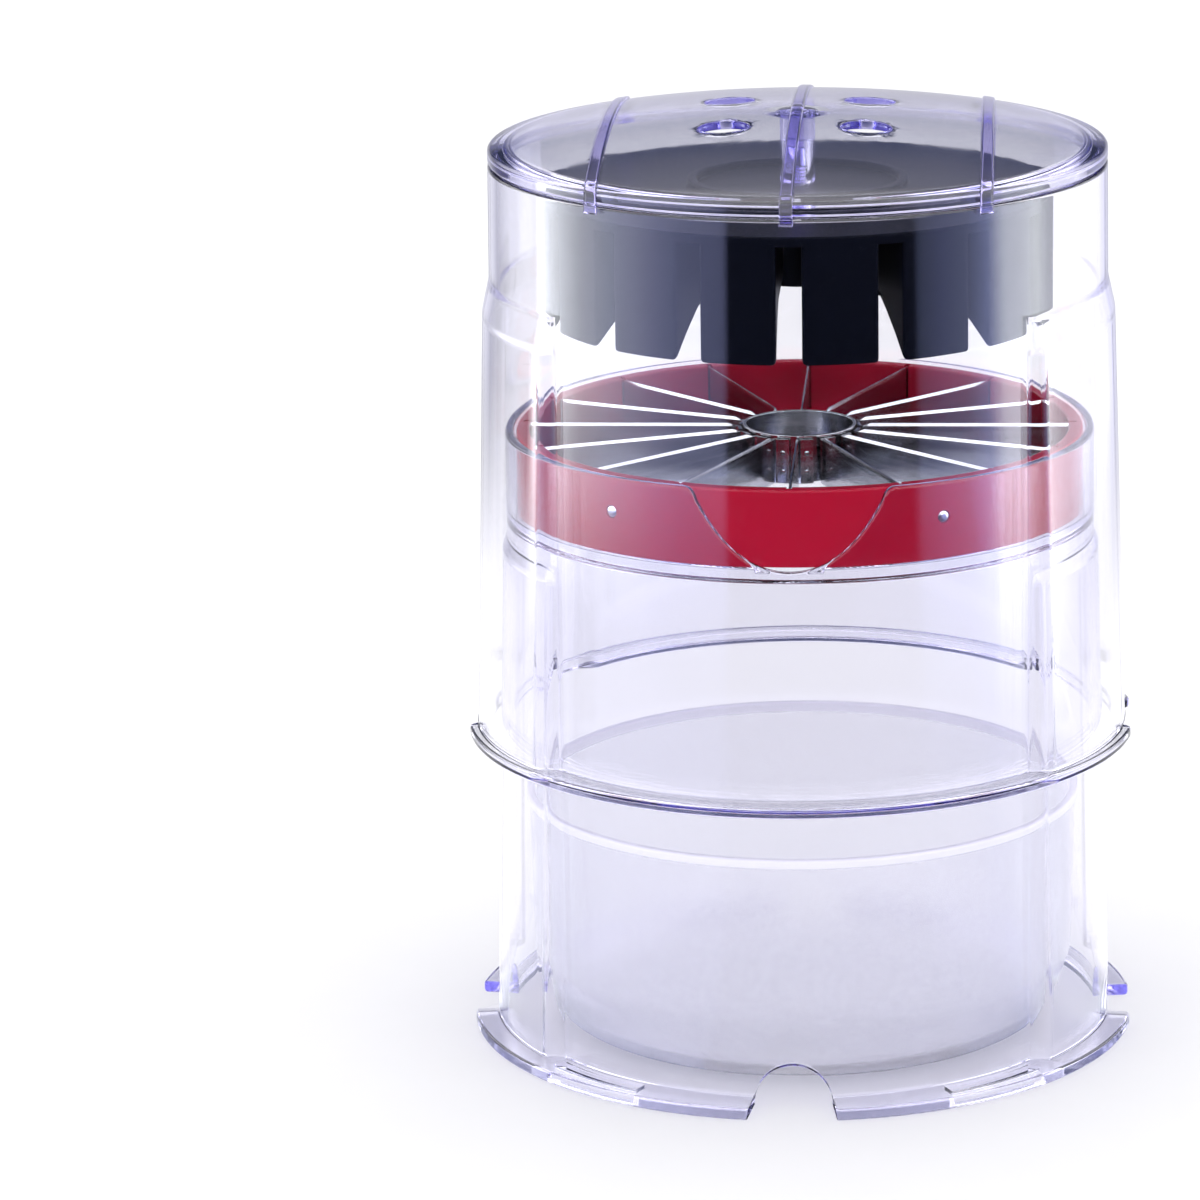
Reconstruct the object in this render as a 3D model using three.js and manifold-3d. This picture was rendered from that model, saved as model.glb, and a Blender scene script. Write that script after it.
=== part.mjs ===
// A press-down apple slicer and corer, in millimetres, +Z up, front towards -Y.
// A clear base holds a drop-in blade cartridge and stands over a frosted bowl. A clear sleeve
// with a slotted pusher inside slides down over the base and drives the apple through the blades.
import * as THREE from 'three';
import { mergeVertices } from 'three/addons/utils/BufferGeometryUtils.js';
import Module from 'manifold-3d';

const wasm = await Module();
wasm.setup();

const DEG = Math.PI / 180;
const ROUND_STEPS = 48;         // sides of the large round parts
const SMALL_STEPS = 24;         // sides of the small round parts
const GAP = 0.3;                // space left between pieces that rest on each other
const THROUGH = 80;             // reach of a cutter that passes right through the body
const OVER_ALL = 170;           // a height above everything

// Shared by the two clear shells
const SHELL_WALL = 1.5;
const FLANGE_RADIUS = 56.6;
const CHANNEL_HALF_ANGLE = 38;  // the side keys and the channels over them, each side of +X and -X

// Base housing
const BASE_FLANGE_HEIGHT = 2;
const BASE_BOTTOM_RADIUS = 50;
const BASE_TOP_RADIUS = 49.45;
const BASE_HEIGHT = 104.6;
const KEY_BOTTOM_RADIUS = 52.7;
const KEY_TOP_RADIUS = 50.2;
const KEY_HEIGHT = 86.5;
const LEDGE_TOP = 91.1;
const LEDGE_HEIGHT = 2;
const LEDGE_INNER_RADIUS = 45.6;
const LEDGE_RECESS_WIDTH = 11;
const LEDGE_RECESS_DEPTH = 0.6;
const DIP_HALF_WIDTH = 15;
const DIP_SHOULDER = 2.2;
const DIP_DEPTH = 13.6;
const ARCH_HALF_WIDTH = 6.6;
const ARCH_HEIGHT = 7.3;
const FLANGE_SLOT_INNER = 51.2;
const FLANGE_SLOT_OUTER = 53.6;
const FLANGE_SLOT_FROM = 29;
const FLANGE_SLOT_TO = 49;

// Catch bowl
const BOWL_RIM_RADIUS = 47.2;
const BOWL_HEIGHT = 41.9;
const BOWL_CORNER_RADIUS = 12;
const BOWL_WALL = 1.2;
const BOWL_DRAFT = 1.2;         // how much narrower the wall is above the corner than at the rim

// Blade cartridge
const RING_BOTTOM = LEDGE_TOP + GAP;
const RING_TOP = 104.3;
const RING_INNER_RADIUS = 45.2;
const RING_OUTER_RADIUS = 47.6;
const BLADE_COUNT = 16;
const BLADE_THICKNESS = 0.5;
const BLADE_BOTTOM = 96;
const BLADE_TOP = 104;
const BLADE_BEVEL = 0.8;
const BLADE_OUTER_RADIUS = 46.3;
const BLADE_TAB_WIDTH = 2.6;
const BLADE_SLOT_WIDTH = 1.1;
const TUBE_RADIUS = 9.5;
const TUBE_WALL = 0.5;
const TUBE_BOTTOM = 96.1;
const TUBE_TOP = 104.1;
const PIN_RADIUS = 1;
const PIN_HEIGHT = 98.4;
const PIN_INNER_RADIUS = 45.6;
const PIN_ANGLES = [-36.8, 30.6, 143.2, 210.6];

// Press sleeve
const SLEEVE_BOTTOM = 51.7;
const SLEEVE_TOP = 149;
const SLEEVE_FLANGE_HEIGHT = 1.8;
const SLEEVE_BOTTOM_RADIUS = 52.4;
const SLEEVE_TOP_RADIUS = 51.5;
const CHANNEL_BOTTOM_RADIUS = 55.1;
const CHANNEL_TOP_RADIUS = 52.8;
const CHANNEL_TOP = 128.5;
const KEY_SIDE_GAP = 0.6;        // between a key's sides and its channel's
const SIDE_NOTCH_WIDTH = 16;

// Press cap
const CAP_BOTTOM = SLEEVE_TOP + GAP;
const CAP_LIP_TOP = 151.7;
const CAP_RADIUS = 51.5;
const DOME_RISE = 5.5;
const CAP_WALL = 1.6;
const SKIRT_RADIUS = 49.5;
const SKIRT_DEPTH = 1.2;
const VENT_RADIUS = 4.25;
const VENT_OFFSET = 11.7;
const RIB_WIDTH = 2.2;
const RIB_PROUD = 0.6;
const RIB_SPACING = 31.6;
const RIB_TAB_BOTTOM = 148;
const RIB_TAB_THICKNESS = 0.9;
const BOSS_RADIUS = 2.9;
const BOSS_BORE = 1.7;

// Pusher head and its screw
const PUSHER_RADIUS = 42.5;
const PLATE_TOP = 144.4;
const PLATE_THICKNESS = 1.6;
const PLATE_RING_RADIUS = 18.4;
const PLATE_RING_WALL = 1.6;
const PLATE_RING_HEIGHT = 1.2;
const FINGER_BOTTOM = 123;
const FINGER_SPHERE = 59;       // radius of the hollow that the finger ends form for the apple
const FINGER_BORE = 12.2;
const FINGER_SLOT_WIDTH = 4.1;
const FINGER_WALL = 2;
const HUB_RADIUS = 7.5;         // pushes the core down through the tube
const HUB_WALL = 1.5;
const HUB_BOTTOM = 128.8;
const POCKET_INNER_RADIUS = 26;
const SCREW_RADIUS = 1.4;
const SCREW_TOP = 150.5;
const SCREW_HEAD_RADIUS = 3.2;
const SCREW_HEAD_HEIGHT = 1.8;
const WASHER_RADIUS = 5;
const WASHER_THICKNESS = 0.8;

const blendOf = (from, to, share) => from + (to - from) * share;

// ---------------------------------------------------------------- solids

function solidOf(geometry) {
  geometry.deleteAttribute('normal');
  geometry.deleteAttribute('uv');
  const merged = mergeVertices(geometry, 1e-4);
  const corners = [];
  for (let i = 0; i < merged.index.count; i += 3) {
    const [a, b, c] = [0, 1, 2].map((k) => merged.index.getX(i + k));
    if (a !== b && b !== c && c !== a) corners.push(a, b, c);
  }
  return new wasm.Manifold(new wasm.Mesh({
    numProp: 3,
    vertProperties: new Float32Array(merged.attributes.position.array),
    triVerts: new Uint32Array(corners),
  }));
}

function geometryOf(solid) {
  const mesh = solid.getMesh();
  const indexed = new THREE.BufferGeometry();
  indexed.setAttribute('position', new THREE.BufferAttribute(mesh.vertProperties, 3));
  indexed.setIndex(new THREE.BufferAttribute(mesh.triVerts, 1));
  const geometry = indexed.toNonIndexed();
  geometry.computeVertexNormals();
  return geometry;
}

// A closed [radius, height] outline turned about Z.
function revolve(outline, steps = ROUND_STEPS) {
  const points = outline.map(([radius, height]) => new THREE.Vector2(radius, height));
  if (THREE.ShapeUtils.isClockWise(points)) points.reverse();
  points.push(points[0].clone());
  return solidOf(new THREE.LatheGeometry(points, steps).rotateX(Math.PI / 2));
}

// A solid of the given radius at its bottom and top.
function cone(bottomRadius, topRadius, bottom, top, steps = ROUND_STEPS) {
  return revolve([[0, bottom], [bottomRadius, bottom], [topRadius, top], [0, top]], steps);
}

// A straight round ring.
function tube(innerRadius, outerRadius, bottom, top, steps = ROUND_STEPS) {
  return revolve(
    [[innerRadius, bottom], [outerRadius, bottom], [outerRadius, top], [innerRadius, top]], steps);
}

// An upright sector between two angles measured from the front, anticlockwise from above.
function sector(innerRadius, outerRadius, from, to, bottom, top) {
  const start = (from - 90) * DEG;
  const end = (to - 90) * DEG;
  const shape = new THREE.Shape();
  shape.absarc(0, 0, outerRadius, start, end, false);
  shape.absarc(0, 0, innerRadius, end, start, true);
  shape.closePath();
  const options = { depth: top - bottom, bevelEnabled: false, curveSegments: 8 };
  return solidOf(new THREE.ExtrudeGeometry(shape, options).translate(0, 0, bottom));
}

// A box between two corners.
function block(low, high) {
  const size = high.map((value, i) => value - low[i]);
  const middle = high.map((value, i) => (value + low[i]) / 2);
  return solidOf(new THREE.BoxGeometry(...size).translate(...middle));
}

// An upright outline, x across and y up, passed right through the body from front to back.
function frontToBack(shape) {
  const options = { depth: 2 * THROUGH, bevelEnabled: false, curveSegments: 8 };
  const geometry = new THREE.ExtrudeGeometry(shape, options);
  return solidOf(geometry.rotateX(Math.PI / 2).translate(0, THROUGH, 0));
}

// The two opposite sectors, at +X and -X, that the keys and their channels fill.
function sideSectors(halfAngle, bottom, top) {
  return [90, 270]
    .map((middle) => sector(5, THROUGH, middle - halfAngle, middle + halfAngle, bottom, top))
    .reduce((both, each) => both.add(each));
}

// The angle that a length along a circle spans.
const spanOf = (length, radius) => length / radius / DEG;

// ---------------------------------------------------------------- base and bowl

const baseRadiusAt = (z) => blendOf(BASE_BOTTOM_RADIUS, BASE_TOP_RADIUS, z / BASE_HEIGHT);

function dipCutter() {
  const shape = new THREE.Shape();
  const rim = BASE_HEIGHT;
  const floor = BASE_HEIGHT - DIP_DEPTH;
  const outside = DIP_HALF_WIDTH + DIP_SHOULDER;
  shape.moveTo(-outside, rim + 1);
  shape.lineTo(-outside, rim);
  shape.quadraticCurveTo(-DIP_HALF_WIDTH - 0.5, rim, -DIP_HALF_WIDTH, rim - DIP_SHOULDER);
  shape.bezierCurveTo(-11.5, rim - 9, -6.5, floor, 0, floor);
  shape.bezierCurveTo(6.5, floor, 11.5, rim - 9, DIP_HALF_WIDTH, rim - DIP_SHOULDER);
  shape.quadraticCurveTo(DIP_HALF_WIDTH + 0.5, rim, outside, rim);
  shape.lineTo(outside, rim + 1);
  shape.closePath();
  return frontToBack(shape);
}

function archCutter() {
  const shape = new THREE.Shape();
  shape.absellipse(0, 0, ARCH_HALF_WIDTH, ARCH_HEIGHT, 0, Math.PI, false);
  shape.lineTo(-ARCH_HALF_WIDTH, -1);
  shape.lineTo(ARCH_HALF_WIDTH, -1);
  shape.closePath();
  return frontToBack(shape);
}

function baseHousing() {
  const outerKeys = cone(KEY_BOTTOM_RADIUS, KEY_TOP_RADIUS, 0, KEY_HEIGHT)
    .intersect(sideSectors(CHANNEL_HALF_ANGLE, 0, KEY_HEIGHT));
  const wallAngle = spanOf(SHELL_WALL, KEY_BOTTOM_RADIUS);
  const innerTop = KEY_HEIGHT - SHELL_WALL;
  const innerKeys = cone(KEY_BOTTOM_RADIUS - SHELL_WALL, KEY_TOP_RADIUS - SHELL_WALL, -1, innerTop)
    .intersect(sideSectors(CHANNEL_HALF_ANGLE - wallAngle, -1, innerTop));
  const wall = cone(BASE_BOTTOM_RADIUS, BASE_TOP_RADIUS, 0, BASE_HEIGHT);
  const inside = cone(
    BASE_BOTTOM_RADIUS - SHELL_WALL, BASE_TOP_RADIUS - SHELL_WALL, -1, BASE_HEIGHT + 1);
  const flange = cone(FLANGE_RADIUS, FLANGE_RADIUS, 0, BASE_FLANGE_HEIGHT);
  const ledgeBottom = LEDGE_TOP - LEDGE_HEIGHT;
  const ledge = tube(LEDGE_INNER_RADIUS, baseRadiusAt(LEDGE_TOP) - SHELL_WALL / 2, ledgeBottom, LEDGE_TOP);
  const recessReach = baseRadiusAt(LEDGE_TOP) - SHELL_WALL;
  const halfRecess = spanOf(LEDGE_RECESS_WIDTH / 2, recessReach);
  const recess = sector(
    LEDGE_INNER_RADIUS - 1, recessReach, -halfRecess, halfRecess, LEDGE_TOP - LEDGE_RECESS_DEPTH, LEDGE_TOP + 1);
  let housing = wall.add(outerKeys).add(flange).subtract(inside).subtract(innerKeys).add(ledge);
  housing = housing.subtract(recess).subtract(recess.rotate([0, 0, 180]));
  housing = housing.subtract(dipCutter());
  housing = housing.subtract(archCutter()).subtract(archCutter().rotate([0, 0, 90]));
  for (const side of [0, 180]) {
    for (const from of [FLANGE_SLOT_FROM, -FLANGE_SLOT_TO]) {
      const to = from + FLANGE_SLOT_TO - FLANGE_SLOT_FROM;
      housing = housing.subtract(
        sector(FLANGE_SLOT_INNER, FLANGE_SLOT_OUTER, side + from, side + to, -1, BASE_FLANGE_HEIGHT + 1));
    }
  }
  return housing;
}

function catchBowl() {
  const middle = BOWL_RIM_RADIUS - BOWL_DRAFT - BOWL_CORNER_RADIUS;
  const corner = (radius) => [0, 22.5, 45, 67.5, 90].map((turn) => [
    middle + radius * Math.sin(turn * DEG),
    BOWL_CORNER_RADIUS - radius * Math.cos(turn * DEG),
  ]);
  const outside = [[0, 0], ...corner(BOWL_CORNER_RADIUS), [BOWL_RIM_RADIUS, BOWL_HEIGHT]];
  const inside = [
    [BOWL_RIM_RADIUS - BOWL_WALL, BOWL_HEIGHT],
    ...corner(BOWL_CORNER_RADIUS - BOWL_WALL).reverse(),
    [0, BOWL_WALL],
  ];
  return revolve([...outside, ...inside]);
}

// ---------------------------------------------------------------- blade cartridge

function bladeRing() {
  let ring = tube(RING_INNER_RADIUS, RING_OUTER_RADIUS, RING_BOTTOM, RING_TOP);
  const slotEnd = BLADE_OUTER_RADIUS + GAP;
  const slot = block(
    [RING_INNER_RADIUS - 2, -BLADE_SLOT_WIDTH / 2, BLADE_BOTTOM - GAP],
    [slotEnd, BLADE_SLOT_WIDTH / 2, RING_TOP + 1]);
  for (let i = 0; i < BLADE_COUNT; i += 1) {
    ring = ring.subtract(slot.rotate([0, 0, (i * 360) / BLADE_COUNT]));
  }
  const pinHole = radialPin(PIN_RADIUS + GAP, RING_INNER_RADIUS - 2, RING_OUTER_RADIUS + 2);
  for (const angle of PIN_ANGLES) ring = ring.subtract(pinHole.rotate([0, 0, angle]));
  return ring;
}

// A round pin lying along the front radius at the pins' height.
function radialPin(radius, from, to) {
  const geometry = new THREE.CylinderGeometry(radius, radius, to - from, 12);
  return solidOf(geometry.translate(0, -(from + to) / 2, PIN_HEIGHT));
}

function coreTube() {
  return tube(TUBE_RADIUS - TUBE_WALL, TUBE_RADIUS, TUBE_BOTTOM, TUBE_TOP);
}

// A blade along +X, sharpened along its top edge, with its inner end bent to lie on the tube.
function blade() {
  const inner = TUBE_RADIUS + GAP;
  const half = BLADE_THICKNESS / 2;
  const section = new THREE.Shape();
  section.moveTo(-half, BLADE_BOTTOM);
  section.lineTo(half, BLADE_BOTTOM);
  section.lineTo(half, BLADE_TOP - BLADE_BEVEL);
  section.lineTo(0, BLADE_TOP);
  section.lineTo(-half, BLADE_TOP - BLADE_BEVEL);
  section.closePath();
  const options = { depth: BLADE_OUTER_RADIUS - inner, bevelEnabled: false };
  const geometry = new THREE.ExtrudeGeometry(section, options);
  geometry.rotateX(Math.PI / 2).rotateZ(Math.PI / 2).translate(inner, 0, 0);
  const tab = block(
    [inner, -half, BLADE_BOTTOM],
    [inner + BLADE_THICKNESS, BLADE_TAB_WIDTH - half, BLADE_TOP - BLADE_BEVEL]);
  return solidOf(geometry).add(tab);
}

// ---------------------------------------------------------------- press

function pressSleeve() {
  const innerTop = CHANNEL_TOP - 2 * SHELL_WALL;
  const innerAngle = CHANNEL_HALF_ANGLE + spanOf(KEY_SIDE_GAP, KEY_BOTTOM_RADIUS);
  const outerAngle = innerAngle + spanOf(SHELL_WALL, KEY_BOTTOM_RADIUS);
  const outerChannels = revolve([
    [0, SLEEVE_BOTTOM],
    [CHANNEL_BOTTOM_RADIUS, SLEEVE_BOTTOM],
    [CHANNEL_TOP_RADIUS, CHANNEL_TOP - SHELL_WALL],
    [SLEEVE_TOP_RADIUS - SHELL_WALL / 2, CHANNEL_TOP],
    [0, CHANNEL_TOP],
  ]).intersect(sideSectors(outerAngle, SLEEVE_BOTTOM, CHANNEL_TOP));
  const innerChannels = cone(
    CHANNEL_BOTTOM_RADIUS - SHELL_WALL, CHANNEL_TOP_RADIUS - SHELL_WALL, SLEEVE_BOTTOM - 1, innerTop)
    .intersect(sideSectors(innerAngle, SLEEVE_BOTTOM - 1, innerTop));
  const wall = cone(SLEEVE_BOTTOM_RADIUS, SLEEVE_TOP_RADIUS, SLEEVE_BOTTOM, SLEEVE_TOP);
  const inside = cone(
    SLEEVE_BOTTOM_RADIUS - SHELL_WALL, SLEEVE_TOP_RADIUS - SHELL_WALL, SLEEVE_BOTTOM - 1, SLEEVE_TOP + 1);
  const flangeTop = SLEEVE_BOTTOM + SLEEVE_FLANGE_HEIGHT;
  const halfNotch = SIDE_NOTCH_WIDTH / 2;
  const sideNotch = block([-THROUGH, -halfNotch, SLEEVE_BOTTOM - 1], [THROUGH, halfNotch, flangeTop + 1]);
  const flange = cone(FLANGE_RADIUS, FLANGE_RADIUS, SLEEVE_BOTTOM, flangeTop).subtract(sideNotch);
  return wall.add(outerChannels).add(flange).subtract(inside).subtract(innerChannels);
}

// Height of the dome's outer face at a distance from the axis.
const domeAt = (radius) => CAP_LIP_TOP + DOME_RISE * (1 - (radius / CAP_RADIUS) ** 2);

function domeOutline(radius, offset) {
  const steps = 4;
  return Array.from({ length: steps + 1 }, (_, i) => {
    const distance = (radius * (steps - i)) / steps;
    return [distance, domeAt(distance) + offset];
  });
}

function pressCap() {
  const skirtBottom = CAP_BOTTOM - SKIRT_DEPTH;
  const body = revolve([
    [0, skirtBottom],
    [SKIRT_RADIUS, skirtBottom],
    [SKIRT_RADIUS, CAP_BOTTOM],
    [CAP_RADIUS, CAP_BOTTOM],
    ...domeOutline(CAP_RADIUS, 0),
  ]);
  const tabOuter = CAP_RADIUS + GAP + RIB_TAB_THICKNESS;
  const ribStock = revolve([
    [0, RIB_TAB_BOTTOM],
    [tabOuter, RIB_TAB_BOTTOM],
    ...domeOutline(tabOuter, RIB_PROUD),
  ]).subtract(cone(CAP_RADIUS + GAP, CAP_RADIUS + GAP, RIB_TAB_BOTTOM - 1, CAP_BOTTOM));
  const hollow = revolve([
    [0, skirtBottom - 1],
    [SKIRT_RADIUS - CAP_WALL, skirtBottom - 1],
    ...domeOutline(SKIRT_RADIUS - CAP_WALL, -CAP_WALL),
  ]);
  let cap = body;
  const slab = block([-RIB_WIDTH / 2, -THROUGH, RIB_TAB_BOTTOM - 1], [RIB_WIDTH / 2, THROUGH, OVER_ALL]);
  for (const middle of [-RIB_SPACING, 0, RIB_SPACING]) {
    cap = cap.add(ribStock.intersect(slab.translate([middle, 0, 0])));
  }
  const boss = cone(BOSS_RADIUS, BOSS_RADIUS, PLATE_TOP + GAP, domeAt(0) - CAP_WALL / 2, SMALL_STEPS);
  cap = cap.subtract(hollow).add(boss);
  cap = cap.subtract(cone(BOSS_BORE, BOSS_BORE, PLATE_TOP - 1, SCREW_TOP + 1, SMALL_STEPS));
  for (const [x, y] of [[-1, -1], [1, -1], [-1, 1], [1, 1]]) {
    const vent = cone(VENT_RADIUS, VENT_RADIUS, CAP_BOTTOM, OVER_ALL, SMALL_STEPS);
    cap = cap.subtract(vent.translate([x * VENT_OFFSET, y * VENT_OFFSET, 0]));
  }
  return cap;
}

function pusherHead() {
  const plateBottom = PLATE_TOP - PLATE_THICKNESS;
  const sphereMiddle = FINGER_BOTTOM - Math.sqrt(FINGER_SPHERE ** 2 - PUSHER_RADIUS ** 2);
  const underside = [PUSHER_RADIUS, 34, 24, FINGER_BORE].map(
    (radius) => [radius, sphereMiddle + Math.sqrt(FINGER_SPHERE ** 2 - radius ** 2)]);
  let fingers = revolve([...underside.reverse(), [PUSHER_RADIUS, PLATE_TOP], [FINGER_BORE, PLATE_TOP]]);
  const slot = block(
    [FINGER_BORE - 3, -FINGER_SLOT_WIDTH / 2, FINGER_BOTTOM - 5],
    [PUSHER_RADIUS + 3, FINGER_SLOT_WIDTH / 2, plateBottom]);
  for (let i = 0; i < BLADE_COUNT; i += 1) {
    const turn = (i * 360) / BLADE_COUNT;
    fingers = fingers.subtract(slot.rotate([0, 0, turn]));
    fingers = fingers.subtract(fingerPocket(plateBottom).rotate([0, 0, turn + 180 / BLADE_COUNT]));
  }
  const plate = cone(PUSHER_RADIUS, PUSHER_RADIUS, plateBottom, PLATE_TOP);
  const ringTop = PLATE_TOP + PLATE_RING_HEIGHT;
  const ring = tube(PLATE_RING_RADIUS - PLATE_RING_WALL, PLATE_RING_RADIUS, plateBottom, ringTop);
  const holeRadius = SCREW_RADIUS + GAP;
  const screwHole = cone(holeRadius, holeRadius, plateBottom - 1, PLATE_TOP + 1, SMALL_STEPS);
  const hub = tube(HUB_RADIUS - HUB_WALL, HUB_RADIUS, HUB_BOTTOM, plateBottom + 0.5, SMALL_STEPS);
  return fingers.add(plate).add(ring).subtract(screwHole).add(hub);
}

// The hollow inside one finger, along +X, open below.
function fingerPocket(top) {
  const outer = PUSHER_RADIUS - FINGER_WALL;
  const inset = (FINGER_SLOT_WIDTH / 2 + FINGER_WALL) / Math.cos(Math.PI / BLADE_COUNT);
  const halfWidthAt = (radius) => radius * Math.tan(Math.PI / BLADE_COUNT) - inset;
  const shape = new THREE.Shape();
  shape.moveTo(POCKET_INNER_RADIUS, -halfWidthAt(POCKET_INNER_RADIUS));
  shape.lineTo(outer, -halfWidthAt(outer));
  shape.lineTo(outer, halfWidthAt(outer));
  shape.lineTo(POCKET_INNER_RADIUS, halfWidthAt(POCKET_INNER_RADIUS));
  shape.closePath();
  const bottom = FINGER_BOTTOM - 5;
  const options = { depth: top - bottom, bevelEnabled: false };
  return solidOf(new THREE.ExtrudeGeometry(shape, options).translate(0, 0, bottom));
}

function pusherWasher() {
  const top = PLATE_TOP - PLATE_THICKNESS - GAP;
  return tube(SCREW_RADIUS + GAP, WASHER_RADIUS, top - WASHER_THICKNESS, top, SMALL_STEPS);
}

function pusherScrew() {
  const headTop = PLATE_TOP - PLATE_THICKNESS - WASHER_THICKNESS - 2 * GAP;
  return revolve([
    [0, headTop - SCREW_HEAD_HEIGHT],
    [SCREW_HEAD_RADIUS, headTop - SCREW_HEAD_HEIGHT],
    [SCREW_HEAD_RADIUS, headTop],
    [SCREW_RADIUS, headTop],
    [SCREW_RADIUS, SCREW_TOP],
    [0, SCREW_TOP],
  ], SMALL_STEPS);
}

// ---------------------------------------------------------------- assembly

const finishes = {
  clearPlastic: { color: 0xdcdcec, roughness: 0.05, metalness: 0, transparent: true, opacity: 0.3 },
  frostedPlastic: { color: 0xe6e8ea, roughness: 0.45, metalness: 0, transparent: true, opacity: 0.7 },
  darkPlastic: { color: 0x12141f, roughness: 0.4, metalness: 0 },
  redPlastic: { color: 0xb01432, roughness: 0.25, metalness: 0 },
  steel: { color: 0xc8ccd2, roughness: 0.2, metalness: 1 },
};

function piece(name, solid, finish) {
  const mesh = new THREE.Mesh(geometryOf(solid), new THREE.MeshStandardMaterial(finish));
  mesh.name = name;
  return mesh;
}

const twoDigits = (number) => String(number).padStart(2, '0');

function bladeCartridge() {
  const cartridge = new THREE.Group();
  cartridge.add(piece('blade_ring', bladeRing(), finishes.redPlastic));
  cartridge.add(piece('core_tube', coreTube(), finishes.steel));
  for (let i = 0; i < BLADE_COUNT; i += 1) {
    const mesh = piece(`blade_${twoDigits(i + 1)}`, blade(), finishes.steel);
    mesh.rotation.z = ((i * 360) / BLADE_COUNT - 90) * DEG;
    cartridge.add(mesh);
  }
  PIN_ANGLES.forEach((angle, i) => {
    const pin = radialPin(PIN_RADIUS, PIN_INNER_RADIUS, RING_OUTER_RADIUS);
    const mesh = piece(`ring_pin_${i + 1}`, pin, finishes.steel);
    mesh.rotation.z = angle * DEG;
    cartridge.add(mesh);
  });
  return cartridge;
}

function press() {
  const group = new THREE.Group();
  group.add(piece('press_sleeve', pressSleeve(), finishes.clearPlastic));
  group.add(piece('press_cap', pressCap(), finishes.clearPlastic));
  group.add(piece('pusher_head', pusherHead(), finishes.darkPlastic));
  group.add(piece('pusher_washer', pusherWasher(), finishes.steel));
  group.add(piece('pusher_screw', pusherScrew(), finishes.steel));
  return group;
}

const slicer = new THREE.Group();
slicer.add(piece('catch_bowl', catchBowl(), finishes.frostedPlastic));
slicer.add(piece('base_housing', baseHousing(), finishes.clearPlastic));
slicer.add(bladeCartridge());
slicer.add(press());

export default slicer;
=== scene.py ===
"""The looks of the apple slicer and corer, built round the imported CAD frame.

Lengths are in mm and angles in degrees until a mesh or an object is made. An angle about Z is
measured from the front, anticlockwise seen from above.
"""

import math

import bmesh
import bpy
import numpy as np
from mathutils import Matrix, Vector


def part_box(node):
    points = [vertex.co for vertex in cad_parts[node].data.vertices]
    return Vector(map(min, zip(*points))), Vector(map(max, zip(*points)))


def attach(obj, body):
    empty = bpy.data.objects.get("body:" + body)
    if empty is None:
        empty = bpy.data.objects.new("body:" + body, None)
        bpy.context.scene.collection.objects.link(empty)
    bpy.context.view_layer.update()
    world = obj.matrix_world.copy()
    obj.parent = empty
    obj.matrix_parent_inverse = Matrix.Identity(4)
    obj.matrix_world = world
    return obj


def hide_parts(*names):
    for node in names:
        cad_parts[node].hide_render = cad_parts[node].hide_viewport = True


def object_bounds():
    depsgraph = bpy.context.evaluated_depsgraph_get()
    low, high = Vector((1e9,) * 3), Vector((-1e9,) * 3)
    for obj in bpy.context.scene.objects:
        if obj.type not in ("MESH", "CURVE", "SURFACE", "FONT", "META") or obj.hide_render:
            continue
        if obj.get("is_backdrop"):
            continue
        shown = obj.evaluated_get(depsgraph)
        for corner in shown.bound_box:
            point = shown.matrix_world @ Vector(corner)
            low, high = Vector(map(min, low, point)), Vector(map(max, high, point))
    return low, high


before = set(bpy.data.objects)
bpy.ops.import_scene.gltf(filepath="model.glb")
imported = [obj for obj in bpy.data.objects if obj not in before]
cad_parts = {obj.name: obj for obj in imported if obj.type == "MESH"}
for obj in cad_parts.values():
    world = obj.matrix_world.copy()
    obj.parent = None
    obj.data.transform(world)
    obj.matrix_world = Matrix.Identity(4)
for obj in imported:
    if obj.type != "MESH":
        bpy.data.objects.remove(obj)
CAD_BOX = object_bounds()

MM = 0.001


def heights(node):
    """The lowest and highest level of a CAD node, in mm."""
    low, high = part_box(node)
    return low.z / MM, high.z / MM


BASE_HEIGHT = heights("base_housing")[1]
SLEEVE_BOTTOM, SLEEVE_TOP = heights("press_sleeve")
RING_TOP = heights("blade_ring")[1]
TUBE_BOTTOM, TUBE_TOP = heights("core_tube")
BLADE_BOTTOM, BLADE_TOP = heights("blade_01")
BOWL_HEIGHT = heights("catch_bowl")[1]
FLANGE_RADIUS = -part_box("press_sleeve")[0].y / MM
WALL = 1.5
BLADE_COUNT = 16
ROUND_STEPS = 288
ROUND_SHARES = (0.03, 0.12, 0.28, 0.5, 0.75, 1)

# ---------------------------------------------------------------- outlines


def blend_of(start, end, share):
    return start + (end - start) * share


def smooth(share):
    """0 below 0, 1 above 1, and a smooth S between."""
    share = min(max(share, 0.0), 1.0)
    return share * share * (3 - 2 * share)


def rounded(corners, steps=5):
    """A closed outline through [a, b, fillet] corners.

    A corner whose fillet is above 0 gives steps + 1 points, and any other gives one.
    """
    points = []
    count = len(corners)
    for i, (a, b, fillet) in enumerate(corners):
        here = np.array((a, b), float)
        if fillet <= 0:
            points.append(here)
            continue
        back = np.array(corners[i - 1][:2], float) - here
        ahead = np.array(corners[(i + 1) % count][:2], float) - here
        back_length, ahead_length = np.hypot(*back), np.hypot(*ahead)
        reach = 0.0
        if min(back_length, ahead_length) > 1e-6:
            back /= back_length
            ahead /= ahead_length
            half = 0.5 * math.acos(min(max(float(back @ ahead), -1.0), 1.0))
            reach = min(fillet / max(math.tan(half), 1e-3), 0.45 * min(back_length, ahead_length))
        for k in range(steps + 1):
            s = k / steps
            points.append(here + back * reach * (1 - s) ** 2 + ahead * reach * s**2)
    return np.array(points)


def round_angles(steps):
    """Even angles all the way round."""
    return [360 * i / steps for i in range(steps)]


# ---------------------------------------------------------------- meshes


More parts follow.
